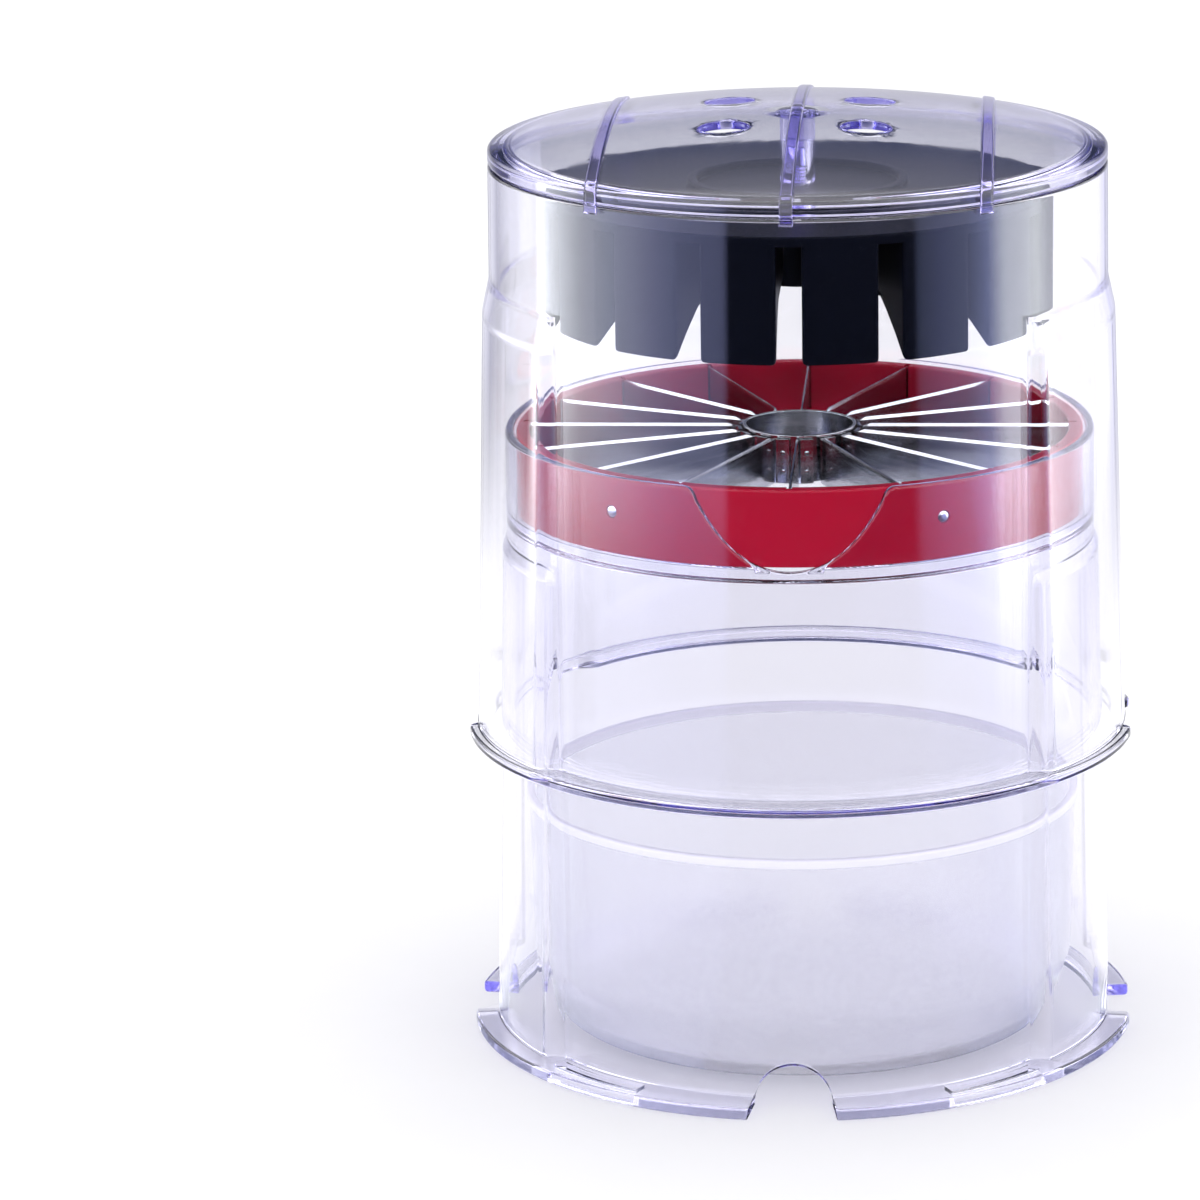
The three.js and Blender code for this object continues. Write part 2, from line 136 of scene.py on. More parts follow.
def make_object(name, vertices, faces):
    """A mesh object from points in mm."""
    mesh = bpy.data.meshes.new(name)
    mesh.from_pydata([tuple(v) for v in np.asarray(vertices, float) * MM], [], faces)
    bm = bmesh.new()
    bm.from_mesh(mesh)
    bmesh.ops.remove_doubles(bm, verts=bm.verts, dist=2e-7)
    bmesh.ops.dissolve_degenerate(bm, edges=bm.edges, dist=1e-7)
    bmesh.ops.delete(bm, geom=[edge for edge in bm.edges if not edge.link_faces], context="EDGES")
    bmesh.ops.recalc_face_normals(bm, faces=bm.faces)
    bm.to_mesh(mesh)
    bm.free()
    obj = bpy.data.objects.new(name, mesh)
    bpy.context.scene.collection.objects.link(obj)
    return obj


def sweep(name, section, angles, closed=True):
    """A solid about Z whose [radius, height] outline at each angle is section(angle)."""
    rings = []
    for angle in angles:
        outline = section(angle)
        turn = math.radians(angle)
        x, y = outline[:, 0] * math.sin(turn), -outline[:, 0] * math.cos(turn)
        rings.append(np.column_stack((x, y, outline[:, 1])))
    return loft(name, rings, closed)


def loft(name, rings, closed=False):
    """A skin over rings of points with the same count, with flat ends unless it closes on itself."""
    count = len(rings[0])
    faces = []
    for i in range(len(rings) if closed else len(rings) - 1):
        a, b = i * count, (i + 1) % len(rings) * count
        faces += [(a + k, a + (k + 1) % count, b + (k + 1) % count, b + k) for k in range(count)]
    if not closed:
        faces.append(tuple(range(count)))
        faces.append(tuple(range((len(rings) - 1) * count, len(rings) * count))[::-1])
    return make_object(name, np.vstack(rings), faces)


def lathe(name, outline, steps=256):
    """A solid of one [radius, height] outline turned about Z."""
    return sweep(name, lambda _: outline, round_angles(steps))


def combine(target, other, operation):
    """Joins other to target, or cuts it out, and removes other."""
    modifier = target.modifiers.new("combine", "BOOLEAN")
    modifier.operation = operation
    modifier.solver = "MANIFOLD"
    modifier.object = other
    bpy.context.view_layer.update()
    result = bpy.data.meshes.new_from_object(target.evaluated_get(bpy.context.evaluated_depsgraph_get()))
    target.modifiers.clear()
    old = target.data
    target.data = result
    bpy.data.meshes.remove(old)
    bpy.data.objects.remove(other)
    return target


def joined(name, objects):
    """Separate closed bodies as one mesh object."""
    bm = bmesh.new()
    for obj in objects:
        piece = obj.data.copy()
        piece.transform(obj.matrix_basis)
        bm.from_mesh(piece)
        bpy.data.objects.remove(obj)
    mesh = bpy.data.meshes.new(name)
    bm.to_mesh(mesh)
    bm.free()
    both = bpy.data.objects.new(name, mesh)
    bpy.context.scene.collection.objects.link(both)
    return both


def turned(obj, name, angle):
    """A copy of obj turned about Z by degrees."""
    copy = bpy.data.objects.new(name, obj.data.copy())
    copy.data.transform(Matrix.Rotation(math.radians(angle), 4, "Z"))
    bpy.context.scene.collection.objects.link(copy)
    return copy


def finish_piece(obj, body, material, nodes, sharp=38):
    """Shading with true flats, the material, and the body and CAD nodes the piece stands for."""
    obj.data.shade_smooth()
    obj.data.set_sharp_from_angle(angle=math.radians(sharp))
    weighted = obj.modifiers.new("flats", "WEIGHTED_NORMAL")
    weighted.keep_sharp = True
    obj.data.materials.clear()
    obj.data.materials.append(material)
    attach(obj, body)
    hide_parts(*nodes)


# ---------------------------------------------------------------- base housing

BASE_BOTTOM_RADIUS, BASE_TOP_RADIUS = 50, 49.45
KEY_BOTTOM_RADIUS, KEY_TOP_RADIUS, KEY_HEIGHT = 52.7, 50.2, 86.5
BASE_FLANGE_HEIGHT = 2
LEDGE_TOP, LEDGE_HEIGHT, LEDGE_INNER_RADIUS = 91.1, 2, 45.6
RECESS_HALF_ANGLE, RECESS_DEPTH = 6.56, 0.6
KEY_EDGE, INNER_KEY_EDGE, KEY_BLEND = 38.9, 37.6, 3.6
KEY_SHOULDER, INNER_KEY_SHOULDER, INNER_KEY_HEIGHT = 84.4, 83.4, 85.4
BASE_MIDDLE_LEVELS = (30, 60)
DIP_HALF_WIDTH, DIP_SHOULDER, DIP_DEPTH = 15, 2.2, 13.6
MIN_COLLAR = 0.8
ARCH_HALF_WIDTH, ARCH_HEIGHT = 6.6, 7.3
FLANGE_CUT = ARCH_HALF_WIDTH * math.sqrt(1 - (BASE_FLANGE_HEIGHT / ARCH_HEIGHT) ** 2)
FLANGE_ROUND = 0.7
FLANGE_SLOT_STARTS, FLANGE_SLOT_SPAN, FLANGE_SLOT_FLARE = (29, -49, 209, 131), 20, 0.3
FLANGE_SLOT_INNER, FLANGE_SLOT_OUTER = 51.2, 53.6


def from_side(angle):
    """Degrees from the nearer of +X and -X."""
    return abs(angle % 180 - 90)


def bezier(points, share):
    """The point at a share of the way along a cubic curve."""
    rest = 1 - share
    weights = (rest**3, 3 * share * rest**2, 3 * share**2 * rest, share**3)
    return [sum(point[i] * weight for point, weight in zip(points, weights)) for i in (0, 1)]


def dip_line():
    """The rim's drop below the top, as distances from the middle of a dip and depths."""
    floor = [[0, DIP_DEPTH], [6.5, DIP_DEPTH], [11.5, 9], [DIP_HALF_WIDTH, DIP_SHOULDER]]
    line = [bezier(floor, k / 20) for k in range(21)]
    edge, outside = DIP_HALF_WIDTH, DIP_HALF_WIDTH + DIP_SHOULDER
    corner = [[edge, DIP_SHOULDER], [edge + 0.4, 0.8], [edge + 1, 0], [outside, 0]]
    return np.array(line + [bezier(corner, k / 8) for k in range(1, 9)])


DIP = dip_line()


def base_rim(angle):
    """The level of the collar's rim."""
    across = abs(BASE_TOP_RADIUS * math.sin(math.radians(angle)))
    return BASE_HEIGHT - float(np.interp(across, DIP[:, 0], DIP[:, 1]))


def arch_offset(angle):
    """Distance from the middle line of the nearest arch."""
    return abs(BASE_BOTTOM_RADIUS * math.sin(math.radians((angle + 45) % 90 - 45)))


def base_flange(angle, outer):
    """The flange's bottom, top and radius at an angle. It is cut away round the arches."""
    off = arch_offset(angle)
    arch = ARCH_HEIGHT * math.sqrt(max(0.0, 1 - (off / ARCH_HALF_WIDTH) ** 2))
    if off <= FLANGE_CUT:
        return arch, arch + 0.4, outer(arch)
    corner = min(1.0, (off - FLANGE_CUT) / FLANGE_ROUND)
    radius = FLANGE_RADIUS - FLANGE_ROUND * (1 - math.sqrt(1 - (1 - corner) ** 2))
    return min(arch, BASE_FLANGE_HEIGHT - 0.01), BASE_FLANGE_HEIGHT, radius


def base_section(angle):
    """The base's outline: flange, wall or side key, ledge and collar."""
    key = smooth((KEY_EDGE - from_side(angle)) / KEY_BLEND)
    inner_key = smooth((INNER_KEY_EDGE - from_side(angle)) / KEY_BLEND)

    def wall(z):
        return blend_of(BASE_BOTTOM_RADIUS, BASE_TOP_RADIUS, z / BASE_HEIGHT)

    def proud(z):
        return blend_of(KEY_BOTTOM_RADIUS, KEY_TOP_RADIUS, z / KEY_HEIGHT) - wall(z)

    def outer(z):
        return wall(z) + key * proud(z)

    def inner(z):
        return wall(z) - WALL + inner_key * proud(z)

    flange_bottom, flange_top, flange = base_flange(angle, outer)
    rim = base_rim(angle)
    recess = smooth((RECESS_HALF_ANGLE - (90 - from_side(angle))) / 0.3 + 0.5)
    ledge_top = min(LEDGE_TOP - RECESS_DEPTH * recess, rim - MIN_COLLAR)
    ledge_bottom = LEDGE_TOP - LEDGE_HEIGHT
    return rounded([
        [inner(flange_bottom), flange_bottom, 0.4],
        [flange, flange_bottom, 0.55],
        [flange, flange_top, 0.55],
        [outer(flange_top), flange_top, 0.5],
        *[[outer(z), z, 0] for z in BASE_MIDDLE_LEVELS],
        [outer(KEY_SHOULDER), KEY_SHOULDER, 1.2],
        [wall(KEY_HEIGHT), KEY_HEIGHT, 0.8],
        [wall(rim), rim, 0.55],
        [wall(rim) - WALL, rim, 0.55],
        [wall(ledge_top) - WALL, ledge_top, 0.3],
        [LEDGE_INNER_RADIUS, ledge_top, 0.35],
        [LEDGE_INNER_RADIUS, ledge_bottom, 0.35],
        [wall(ledge_bottom) - WALL, ledge_bottom, 0.5],
        [wall(INNER_KEY_HEIGHT) - WALL, INNER_KEY_HEIGHT, 0.7],
        [inner(INNER_KEY_SHOULDER), INNER_KEY_SHOULDER, 0.9],
        *[[inner(z), z, 0] for z in reversed(BASE_MIDDLE_LEVELS)],
    ])


def base_angles():
    """Even steps, with more of them where the dips, arches, recesses and key sides are."""
    near_front = [math.degrees(math.asin(x / BASE_TOP_RADIUS)) for x in DIP[:, 0]]
    arch = [ARCH_HALF_WIDTH * math.sin(math.radians(t)) for t in range(0, 91, 5)]
    arch += [FLANGE_CUT, FLANGE_CUT + 1e-4]
    arch += [FLANGE_CUT + FLANGE_ROUND * s for s in ROUND_SHARES]
    near_arch = [math.degrees(math.asin(x / BASE_BOTTOM_RADIUS)) for x in arch]
    recess = [RECESS_HALF_ANGLE + d for d in (-0.16, -0.08, 0, 0.08, 0.16)]
    sides = [edge - KEY_BLEND * k / 14 for edge in (KEY_EDGE, INNER_KEY_EDGE) for k in range(15)]
    angles = set(round_angles(ROUND_STEPS))
    for middle in (0, 180):
        angles.update((middle + sign * a) % 360 for a in near_front + recess for sign in (-1, 1))
    for middle in (0, 90, 180, 270):
        angles.update((middle + sign * a) % 360 for a in near_arch for sign in (-1, 1))
    for middle in (90, 270):
        angles.update((middle + sign * a) % 360 for a in sides for sign in (-1, 1))
    return spread(sorted(angles), 1e-4)


def spread(angles, least):
    """The angles without near-repeats."""
    kept = [angles[0]]
    for angle in angles[1:]:
        if angle - kept[-1] > least:
            kept.append(angle)
    return kept


def flange_slots():
    """The cutters of the four curved slots in the base flange, flared where they meet its faces."""
    inner, outer, flare = FLANGE_SLOT_INNER, FLANGE_SLOT_OUTER, FLANGE_SLOT_FLARE
    top = BASE_FLANGE_HEIGHT
    outline = np.array([
        [inner - 1, -1], [outer + 1, -1], [outer + flare, 0], [outer, flare], [outer, top - flare],
        [outer + flare, top], [outer + 1, top + 1], [inner - 1, top + 1], [inner - flare, top],
        [inner, top - flare], [inner, flare], [inner - flare, 0],
    ])
    cutters = []
    for start in FLANGE_SLOT_STARTS:
        angles = [start + k for k in range(FLANGE_SLOT_SPAN + 1)]
        cutters.append(sweep("slot", lambda _: outline, angles, closed=False))
    return joined("slots", cutters)


def base_housing():
    base = sweep("base_shell", base_section, base_angles())
    return combine(base, flange_slots(), "DIFFERENCE")


# ---------------------------------------------------------------- catch bowl


def catch_bowl():
    rim, top = 47.2, BOWL_HEIGHT
    return lathe("bowl_shell", rounded([
        [0, 0.6, 0],
        [28.5, 0.6, 0.4],
        [29, 0, 0.3],
        [31, 0, 0.5],
        [42.4, 2.6, 5.5],
        [46, 13, 6],
        [46.55, top - 1.6, 0.3],
        [rim, top - 1.5, 0.4],
        [rim, top, 0.62],
        [rim - 1.5, top, 0.62],
        [rim - 1.75, top - 2, 0.8],
        [44.8, 13, 5.5],
        [41.2, 3.8, 5],
        [31, 1.5, 1],
        [0, 1.5, 0],
    ], 8))


# ---------------------------------------------------------------- blade cartridge

RING_BOTTOM = LEDGE_TOP + 0.3
RING_INNER_RADIUS, RING_OUTER_RADIUS = 45.2, 47.6
PIN_ANGLES = [-36.8, 30.6, 143.2, 210.6]
PIN_HEIGHT = 98.4
SLOT_HALF_WIDTH, SLOT_REACH = 0.45, (43, 46.6)
TUBE_RADIUS, TUBE_WALL = 9.5, 0.5
BLADE_END, BLADE_HALF, CREST_HALF, BLADE_BEVEL = 46.3, 0.25, 0.12, 0.45
TAB_GAP, TAB_BEND = 0.32, 0.75


def box_of(name, low, high):
    """A cutter block between two corners."""
    ring = [[0, 0], [1, 0], [1, 1], [0, 1]]
    rings = []
    for z in (low[2], high[2]):
        points = [[blend_of(low[0], high[0], u), blend_of(low[1], high[1], v), z] for u, v in ring]
        rings.append(np.array(points))
    return loft(name, rings)


def rod(name, outline, start, along, steps=48):
    """A turned piece whose [radius, distance] outline runs from start in the direction along."""
    piece = lathe(name, outline, steps)
    turn = Vector((0, 0, 1)).rotation_difference(Vector(along)).to_matrix().to_4x4()
    piece.data.transform(Matrix.Translation(Vector(start) * MM) @ turn)
    return piece


def front_turn(angle):
    """The direction at an angle from the front."""
    return Vector((math.sin(math.radians(angle)), -math.cos(math.radians(angle)), 0))


def blade_ring():
    ring = lathe("ring_body", rounded([
        [RING_INNER_RADIUS, RING_BOTTOM, 0.4],
        [RING_OUTER_RADIUS, RING_BOTTOM, 0.4],
        [RING_OUTER_RADIUS, RING_TOP, 0.6],
        [RING_INNER_RADIUS, RING_TOP, 0.5],
    ]))
    cutters = []
    for i in range(BLADE_COUNT):
        low = [SLOT_REACH[0], -SLOT_HALF_WIDTH, BLADE_BOTTOM - 0.2]
        slot = box_of("slot", low, [SLOT_REACH[1], SLOT_HALF_WIDTH, RING_TOP + 1])
        slot.data.transform(Matrix.Rotation(math.radians(i * 360 / BLADE_COUNT), 4, "Z"))
        cutters.append(slot)
    for angle in PIN_ANGLES:
        way = front_turn(angle)
        hole = np.array([[0, 0], [1.05, 0], [1.05, 1.9], [1.3, 2.2], [1.3, 4], [0, 4]])
        start = way * (RING_OUTER_RADIUS - 2) + Vector((0, 0, PIN_HEIGHT))
        cutters.append(rod("hole", hole, start, way))
    return combine(ring, joined("cutters", cutters), "DIFFERENCE")


def core_tube():
    return lathe("tube_body", rounded([
        [TUBE_RADIUS - TUBE_WALL, TUBE_BOTTOM, 0.12],
        [TUBE_RADIUS, TUBE_BOTTOM, 0.12],
        [TUBE_RADIUS, TUBE_TOP, 0.2],
        [TUBE_RADIUS - TUBE_WALL, TUBE_TOP, 0.2],
    ], 4), 192)


def ring_pin(name, angle):
    way = front_turn(angle)
    start = way * (RING_OUTER_RADIUS - 1.9) + Vector((0, 0, PIN_HEIGHT))
    head = rounded([[0, 0, 0], [1, 0, 0.15], [1, 1.75, 0.22], [0.45, 1.9, 0.2], [0, 1.92, 0]], 4)
    return rod(name, head, start, way)


def blade_path():
    """The middle line of a blade seen from above, from its outer end to its tab bent along the tube."""
    tube_line = TUBE_RADIUS + TAB_GAP + BLADE_HALF
    bend = TAB_BEND
    points = [[BLADE_END, 0]] + [[x, 0] for x in (40, 32, 24, 16, 12)] + [[tube_line + bend, 0]]
    for k in range(1, 7):
        turn = math.radians(15 * k)
        points.append([tube_line + bend * (1 - math.sin(turn)), bend * (1 - math.cos(turn))])
    for k in range(1, 7):
        sweep_angle = (bend + 0.31 * k) / tube_line
        points.append([tube_line * math.cos(sweep_angle), tube_line * math.sin(sweep_angle)])
    return np.array(points)


def blade_body():
    """One blade towards +X, sharpened along its top edge, with its weld dimples."""
    path = blade_path()
    ahead = np.gradient(path, axis=0)
    ahead /= np.linalg.norm(ahead, axis=1)[:, None]
    side = np.column_stack((-ahead[:, 1], ahead[:, 0]))
    rings = []
    for point, across in zip(path, side):
        on_blade = smooth((point[0] - 10.8) / 1.2)
        shoulder = BLADE_TOP - BLADE_BEVEL
        crest = blend_of(shoulder - 0.02, BLADE_TOP, on_blade)
        section = rounded([
            [-BLADE_HALF, BLADE_BOTTOM, 0.08], [BLADE_HALF, BLADE_BOTTOM, 0.08],
            [BLADE_HALF, shoulder - 0.05, 0.05], [CREST_HALF, crest, 0],
            [-CREST_HALF, crest, 0], [-BLADE_HALF, shoulder - 0.05, 0.05],
        ], 3)
        x, y = (point[i] + across[i] * section[:, 0] for i in (0, 1))
        rings.append(np.column_stack((x, y, section[:, 1])))
    body = loft("blade_body", rings)
    dimples = []
    outline = np.array([[0, -0.15], [0.42, -0.15], [0.42, 0], [0.34, 0.05], [0.2, 0.085], [0, 0.1]])
    turn = 1.55 / (TUBE_RADIUS + 0.8)
    way = Vector((math.cos(turn), math.sin(turn), 0))
    for height in (BLADE_BOTTOM + 2, BLADE_BOTTOM + 5.2):
        start = way * (TUBE_RADIUS + 0.82) + Vector((0, 0, height))
        dimples.append(rod("dimple", outline, start, way, 24))
    return combine(body, joined("dimples", dimples), "UNION")


# ---------------------------------------------------------------- press sleeve

SLEEVE_BOTTOM_RADIUS, SLEEVE_TOP_RADIUS = 52.4, 51.5
CHANNEL_BOTTOM_RADIUS, CHANNEL_TOP_RADIUS, CHANNEL_TOP = 55.1, 52.8, 128.5
SLEEVE_FLANGE_HEIGHT = 1.8
SIDE_NOTCH_HALF = 8
NOTCH_ROUND = 1.2
CHANNEL_EDGE, INNER_CHANNEL_EDGE, CHANNEL_BLEND = 42.9, 41.5, 4.2
CHANNEL_FULL, CHANNEL_SHOULDER, INNER_CHANNEL_SHOULDER = 127, 124.2, 123
CHANNEL_OUTER_TOP, SHOULDER_FILLET, SLEEVE_MIDDLE = CHANNEL_TOP + 1.2, 5, 90


def sleeve_section(angle):
    """The sleeve's outline: flange, wall or side channel, and rim."""
    channel = smooth((CHANNEL_EDGE - from_side(angle)) / CHANNEL_BLEND)
    inner_channel = smooth((INNER_CHANNEL_EDGE - from_side(angle)) / CHANNEL_BLEND)

    def wall(z):
        share = (z - SLEEVE_BOTTOM) / (SLEEVE_TOP - SLEEVE_BOTTOM)
        return blend_of(SLEEVE_BOTTOM_RADIUS, SLEEVE_TOP_RADIUS, share)

    def proud(z):
        share = (z - SLEEVE_BOTTOM) / (CHANNEL_FULL - SLEEVE_BOTTOM)
        return blend_of(CHANNEL_BOTTOM_RADIUS, CHANNEL_TOP_RADIUS, share) - wall(z)

    def outer(z):
        return wall(z) + channel * proud(z)

    def inner(z):
        return wall(z) - WALL + inner_channel * proud(z)

    top = SLEEVE_BOTTOM + SLEEVE_FLANGE_HEIGHT
    off = abs(FLANGE_RADIUS * math.cos(math.radians(angle))) - SIDE_NOTCH_HALF
    corner = min(max(off / NOTCH_ROUND, 0.0), 1.0)
    grown = math.sqrt(1 - (1 - corner) ** 2)
    flange = blend_of(outer(SLEEVE_BOTTOM) + 0.02, FLANGE_RADIUS, grown)
    return rounded([
        [inner(SLEEVE_BOTTOM), SLEEVE_BOTTOM, 0.4],
        [flange, SLEEVE_BOTTOM, 0.5],
        [flange, top, 0.5],
        [outer(top), top, 0.5],
        [outer(SLEEVE_MIDDLE), SLEEVE_MIDDLE, 0],
        [outer(CHANNEL_SHOULDER), CHANNEL_SHOULDER, SHOULDER_FILLET],
        [wall(CHANNEL_OUTER_TOP), CHANNEL_OUTER_TOP, SHOULDER_FILLET],
        [wall(SLEEVE_TOP), SLEEVE_TOP, 0.5],
        [wall(SLEEVE_TOP) - WALL, SLEEVE_TOP, 0.5],
        [wall(CHANNEL_TOP) - WALL, CHANNEL_TOP, SHOULDER_FILLET],
        [inner(INNER_CHANNEL_SHOULDER), INNER_CHANNEL_SHOULDER, SHOULDER_FILLET],
        [inner(SLEEVE_MIDDLE), SLEEVE_MIDDLE, 0],
    ])


def sleeve_angles():
    """Even steps, with more of them at the channels' sides and the flange's notches."""
    edges = (CHANNEL_EDGE, INNER_CHANNEL_EDGE)
    sides = [edge - CHANNEL_BLEND * k / 16 for edge in edges for k in range(17)]
    reach = [SIDE_NOTCH_HALF + NOTCH_ROUND * s for s in (0, *ROUND_SHARES)]
    notch = [math.degrees(math.asin(y / FLANGE_RADIUS)) for y in reach]
    angles = set(round_angles(ROUND_STEPS))
    for middle in (90, 270):
        angles.update((middle + sign * a) % 360 for a in sides + notch for sign in (-1, 1))
    return spread(sorted(angles), 1e-4)


def press_sleeve():
    return sweep("sleeve_shell", sleeve_section, sleeve_angles())


# ---------------------------------------------------------------- press cap

CAP_BOTTOM, CAP_LIP_TOP, CAP_RADIUS = 149.3, 151.7, 51.5
DOME_RISE, CAP_WALL = 5.5, 1.6
SKIRT_RADIUS, SKIRT_DEPTH = 49.5, 1.2
RIB_WIDTH, RIB_PROUD, RIB_SPACING, RIB_TAB_BOTTOM = 2.2, 0.45, 31.6, 148
RIB_LIP_RADIUS, RIB_LIP_ROUND, RIB_FOOT = CAP_RADIUS + 0.3, 0.6, -0.7
VENT_RADIUS, VENT_OFFSET = 4.25, 11.7
BOSS_BORE, BOSS_RADIUS, BOSS_BOTTOM, BORE_TOP = 1.7, 2.9, 144.7, 151.5
PLATE_TOP, PLATE_THICKNESS = 144.4, 1.6
SCREW_HOLE = 1.7


def dome_at(radius):
    """The level of the cap's upper face."""
    return CAP_LIP_TOP + DOME_RISE * (1 - (radius / CAP_RADIUS) ** 2)


def cap_body():
    """The dome with its lip, skirt and middle boss."""
    under = SKIRT_RADIUS - CAP_WALL
    corners = [[0, BORE_TOP, 0], [BOSS_BORE, BORE_TOP, 0.1]]
    corners += [[BOSS_BORE, BOSS_BOTTOM, 0.25], [BOSS_RADIUS, BOSS_BOTTOM, 0.3]]
    corners.append([BOSS_RADIUS, dome_at(BOSS_RADIUS) - CAP_WALL, 0.8])
    corners += [[r, dome_at(r) - CAP_WALL, 0] for r in range(6, 46, 3)]
    corners += [
        [under, dome_at(under) - CAP_WALL, 0.9],
        [under, CAP_BOTTOM - SKIRT_DEPTH, 0.4],
        [SKIRT_RADIUS, CAP_BOTTOM - SKIRT_DEPTH, 0.4],
        [SKIRT_RADIUS, CAP_BOTTOM, 0.2],
        [CAP_RADIUS, CAP_BOTTOM, 0.7],
        [CAP_RADIUS, CAP_LIP_TOP, 0.8],
    ]
    corners += [[r, dome_at(r), 0] for r in range(48, 0, -3)]
    corners.append([0, dome_at(0), 0])
    return lathe("cap_body", rounded(corners))


def rib_edge():
    """The rib's line over the lip and down its tab, as radius, level, lean and the section's two heights."""
    lip = RIB_LIP_RADIUS
    edge = []
    for k in range(1, 7):
        turn = math.radians(78 * k / 6)
        across, up = RIB_LIP_ROUND * math.sin(turn), RIB_LIP_ROUND * math.cos(turn)
        edge.append((lip - RIB_LIP_ROUND + across, CAP_LIP_TOP - 0.8 + up, turn, RIB_FOOT, RIB_PROUD))
    upright, high = math.pi / 2, RIB_PROUD + 0.25
    edge += [
        (lip, CAP_BOTTOM + 0.25, upright, -0.6, high),
        (lip, CAP_BOTTOM - 0.05, upright, 0.02, high),
        (lip, RIB_TAB_BOTTOM + 0.45, upright, 0.02, high),
        (lip + 0.06, RIB_TAB_BOTTOM + 0.12, upright, 0.06, 0.75),
        (lip + 0.3, RIB_TAB_BOTTOM, upright, 0.1, 0.3),
    ]
    return edge


def rib_section(low, high):
    """The rib's [across, height] outline, rounded on top."""
    half = RIB_WIDTH / 2
    fillet = min(0.5, 0.45 * (high - low))
    return rounded([[-half, low, 0.02], [half, low, 0.02], [half, high, fillet], [-half, high, fillet]], 4)


def cap_rib(middle):
    """A rounded rib over the dome from front to back, with a tab over the lip at each end."""
    def edge_ring(place, sign):
        radius, z, turn, low, high = place
        points = rib_section(low, high)
        rho = radius + points[:, 1] * math.sin(turn)
        x = middle + points[:, 0]
        return np.column_stack((x, sign * np.sqrt(rho**2 - x**2), z + points[:, 1] * math.cos(turn)))

    edge = rib_edge()
    rings = [edge_ring(place, -1) for place in reversed(edge)]
    for share in np.linspace(-1, 1, 41):
        points = rib_section(RIB_FOOT, RIB_PROUD)
        x = middle + points[:, 0]
        y = share * np.sqrt((RIB_LIP_RADIUS - RIB_LIP_ROUND) ** 2 - x**2)
        rings.append(np.column_stack((x, y, dome_at(np.hypot(x, y)) + points[:, 1])))
    rings += [edge_ring(place, 1) for place in edge]
    return loft("rib", rings)


def vent_cutter(x, y):
    """A round hole through the dome, flared where it meets the faces."""
    radius = math.hypot(x, y)
    slope = 2 * DOME_RISE * radius / CAP_RADIUS**2
    normal = Vector((x / radius * slope, y / radius * slope, 1)).normalized()
    middle = Vector((x, y, dome_at(radius) - CAP_WALL / 2))
    flare, half = 0.35, CAP_WALL / 2
    side = []
    for k in range(6):
        turn = math.radians(18 * k)
        side.append([VENT_RADIUS + flare * (1 - math.cos(turn)), half - flare + flare * math.sin(turn)])
    side.append([VENT_RADIUS + 1.2, half + 0.35])
    side.append([VENT_RADIUS + 1.2, half + 2])
    outline = [[r, z + 4] for r, z in side]
    lower = [[r, 4 - z] for r, z in reversed(side)]
    outline = [[0, lower[0][1]]] + lower + outline + [[0, outline[-1][1]]]
    return rod("vent", np.array(outline), middle - normal * 4, normal, 64)


def press_cap():
    cap = cap_body()
    for middle in (-RIB_SPACING, 0, RIB_SPACING):
        combine(cap, cap_rib(middle), "UNION")
    vents = [vent_cutter(sx * VENT_OFFSET, sy * VENT_OFFSET) for sx in (-1, 1) for sy in (-1, 1)]
    return combine(cap, joined("vents", vents), "DIFFERENCE")


# ---------------------------------------------------------------- pusher

PUSHER_RADIUS = 42.5
PLATE_RIDGE = (16.8, 18.4, 1.2)
FINGER_BOTTOM, FINGER_SPHERE, FINGER_SLOT, FINGER_WALL = 123, 59, 4.1, 2
FINGER_TIP, FINGER_MIDDLE, POCKET_TIP = 12.4, 132, 26
HUB_RADIUS, HUB_WALL, HUB_BOTTOM = 7.5, 1.5, 128.8
HALF_PITCH = math.pi / BLADE_COUNT


def finger_level(radius):
    """The level of the fingers' ends, which lie on a sphere."""
    middle = FINGER_BOTTOM - math.sqrt(FINGER_SPHERE**2 - PUSHER_RADIUS**2)
    return middle + np.sqrt(FINGER_SPHERE**2 - radius**2)


def finger_outline(inset, tip, outer, fillet):
    """A finger seen from above, along +X: two sides parallel to the slots, and a round outer end."""
    gap = (FINGER_SLOT / 2 + inset) / math.cos(HALF_PITCH)
    tip = max(tip, (gap + 0.06) / math.tan(HALF_PITCH))

    def half_width(x):
        return x * math.tan(HALF_PITCH) - gap

    end = outer * 0.985
    for _ in range(8):
        end = math.sqrt(outer**2 - half_width(end) ** 2)
    side = [[x, -half_width(x), 0] for x in np.linspace(tip, end, 9)[:-1]]
    turn = math.asin(half_width(end) / outer)
    arc = [[outer * math.cos(a), outer * math.sin(a), 0] for a in np.linspace(-turn, turn, 9)]
    arc[0][2] = arc[-1][2] = fillet
    return rounded(side + arc + [[x, -y, 0] for x, y, _ in reversed(side)], 4)


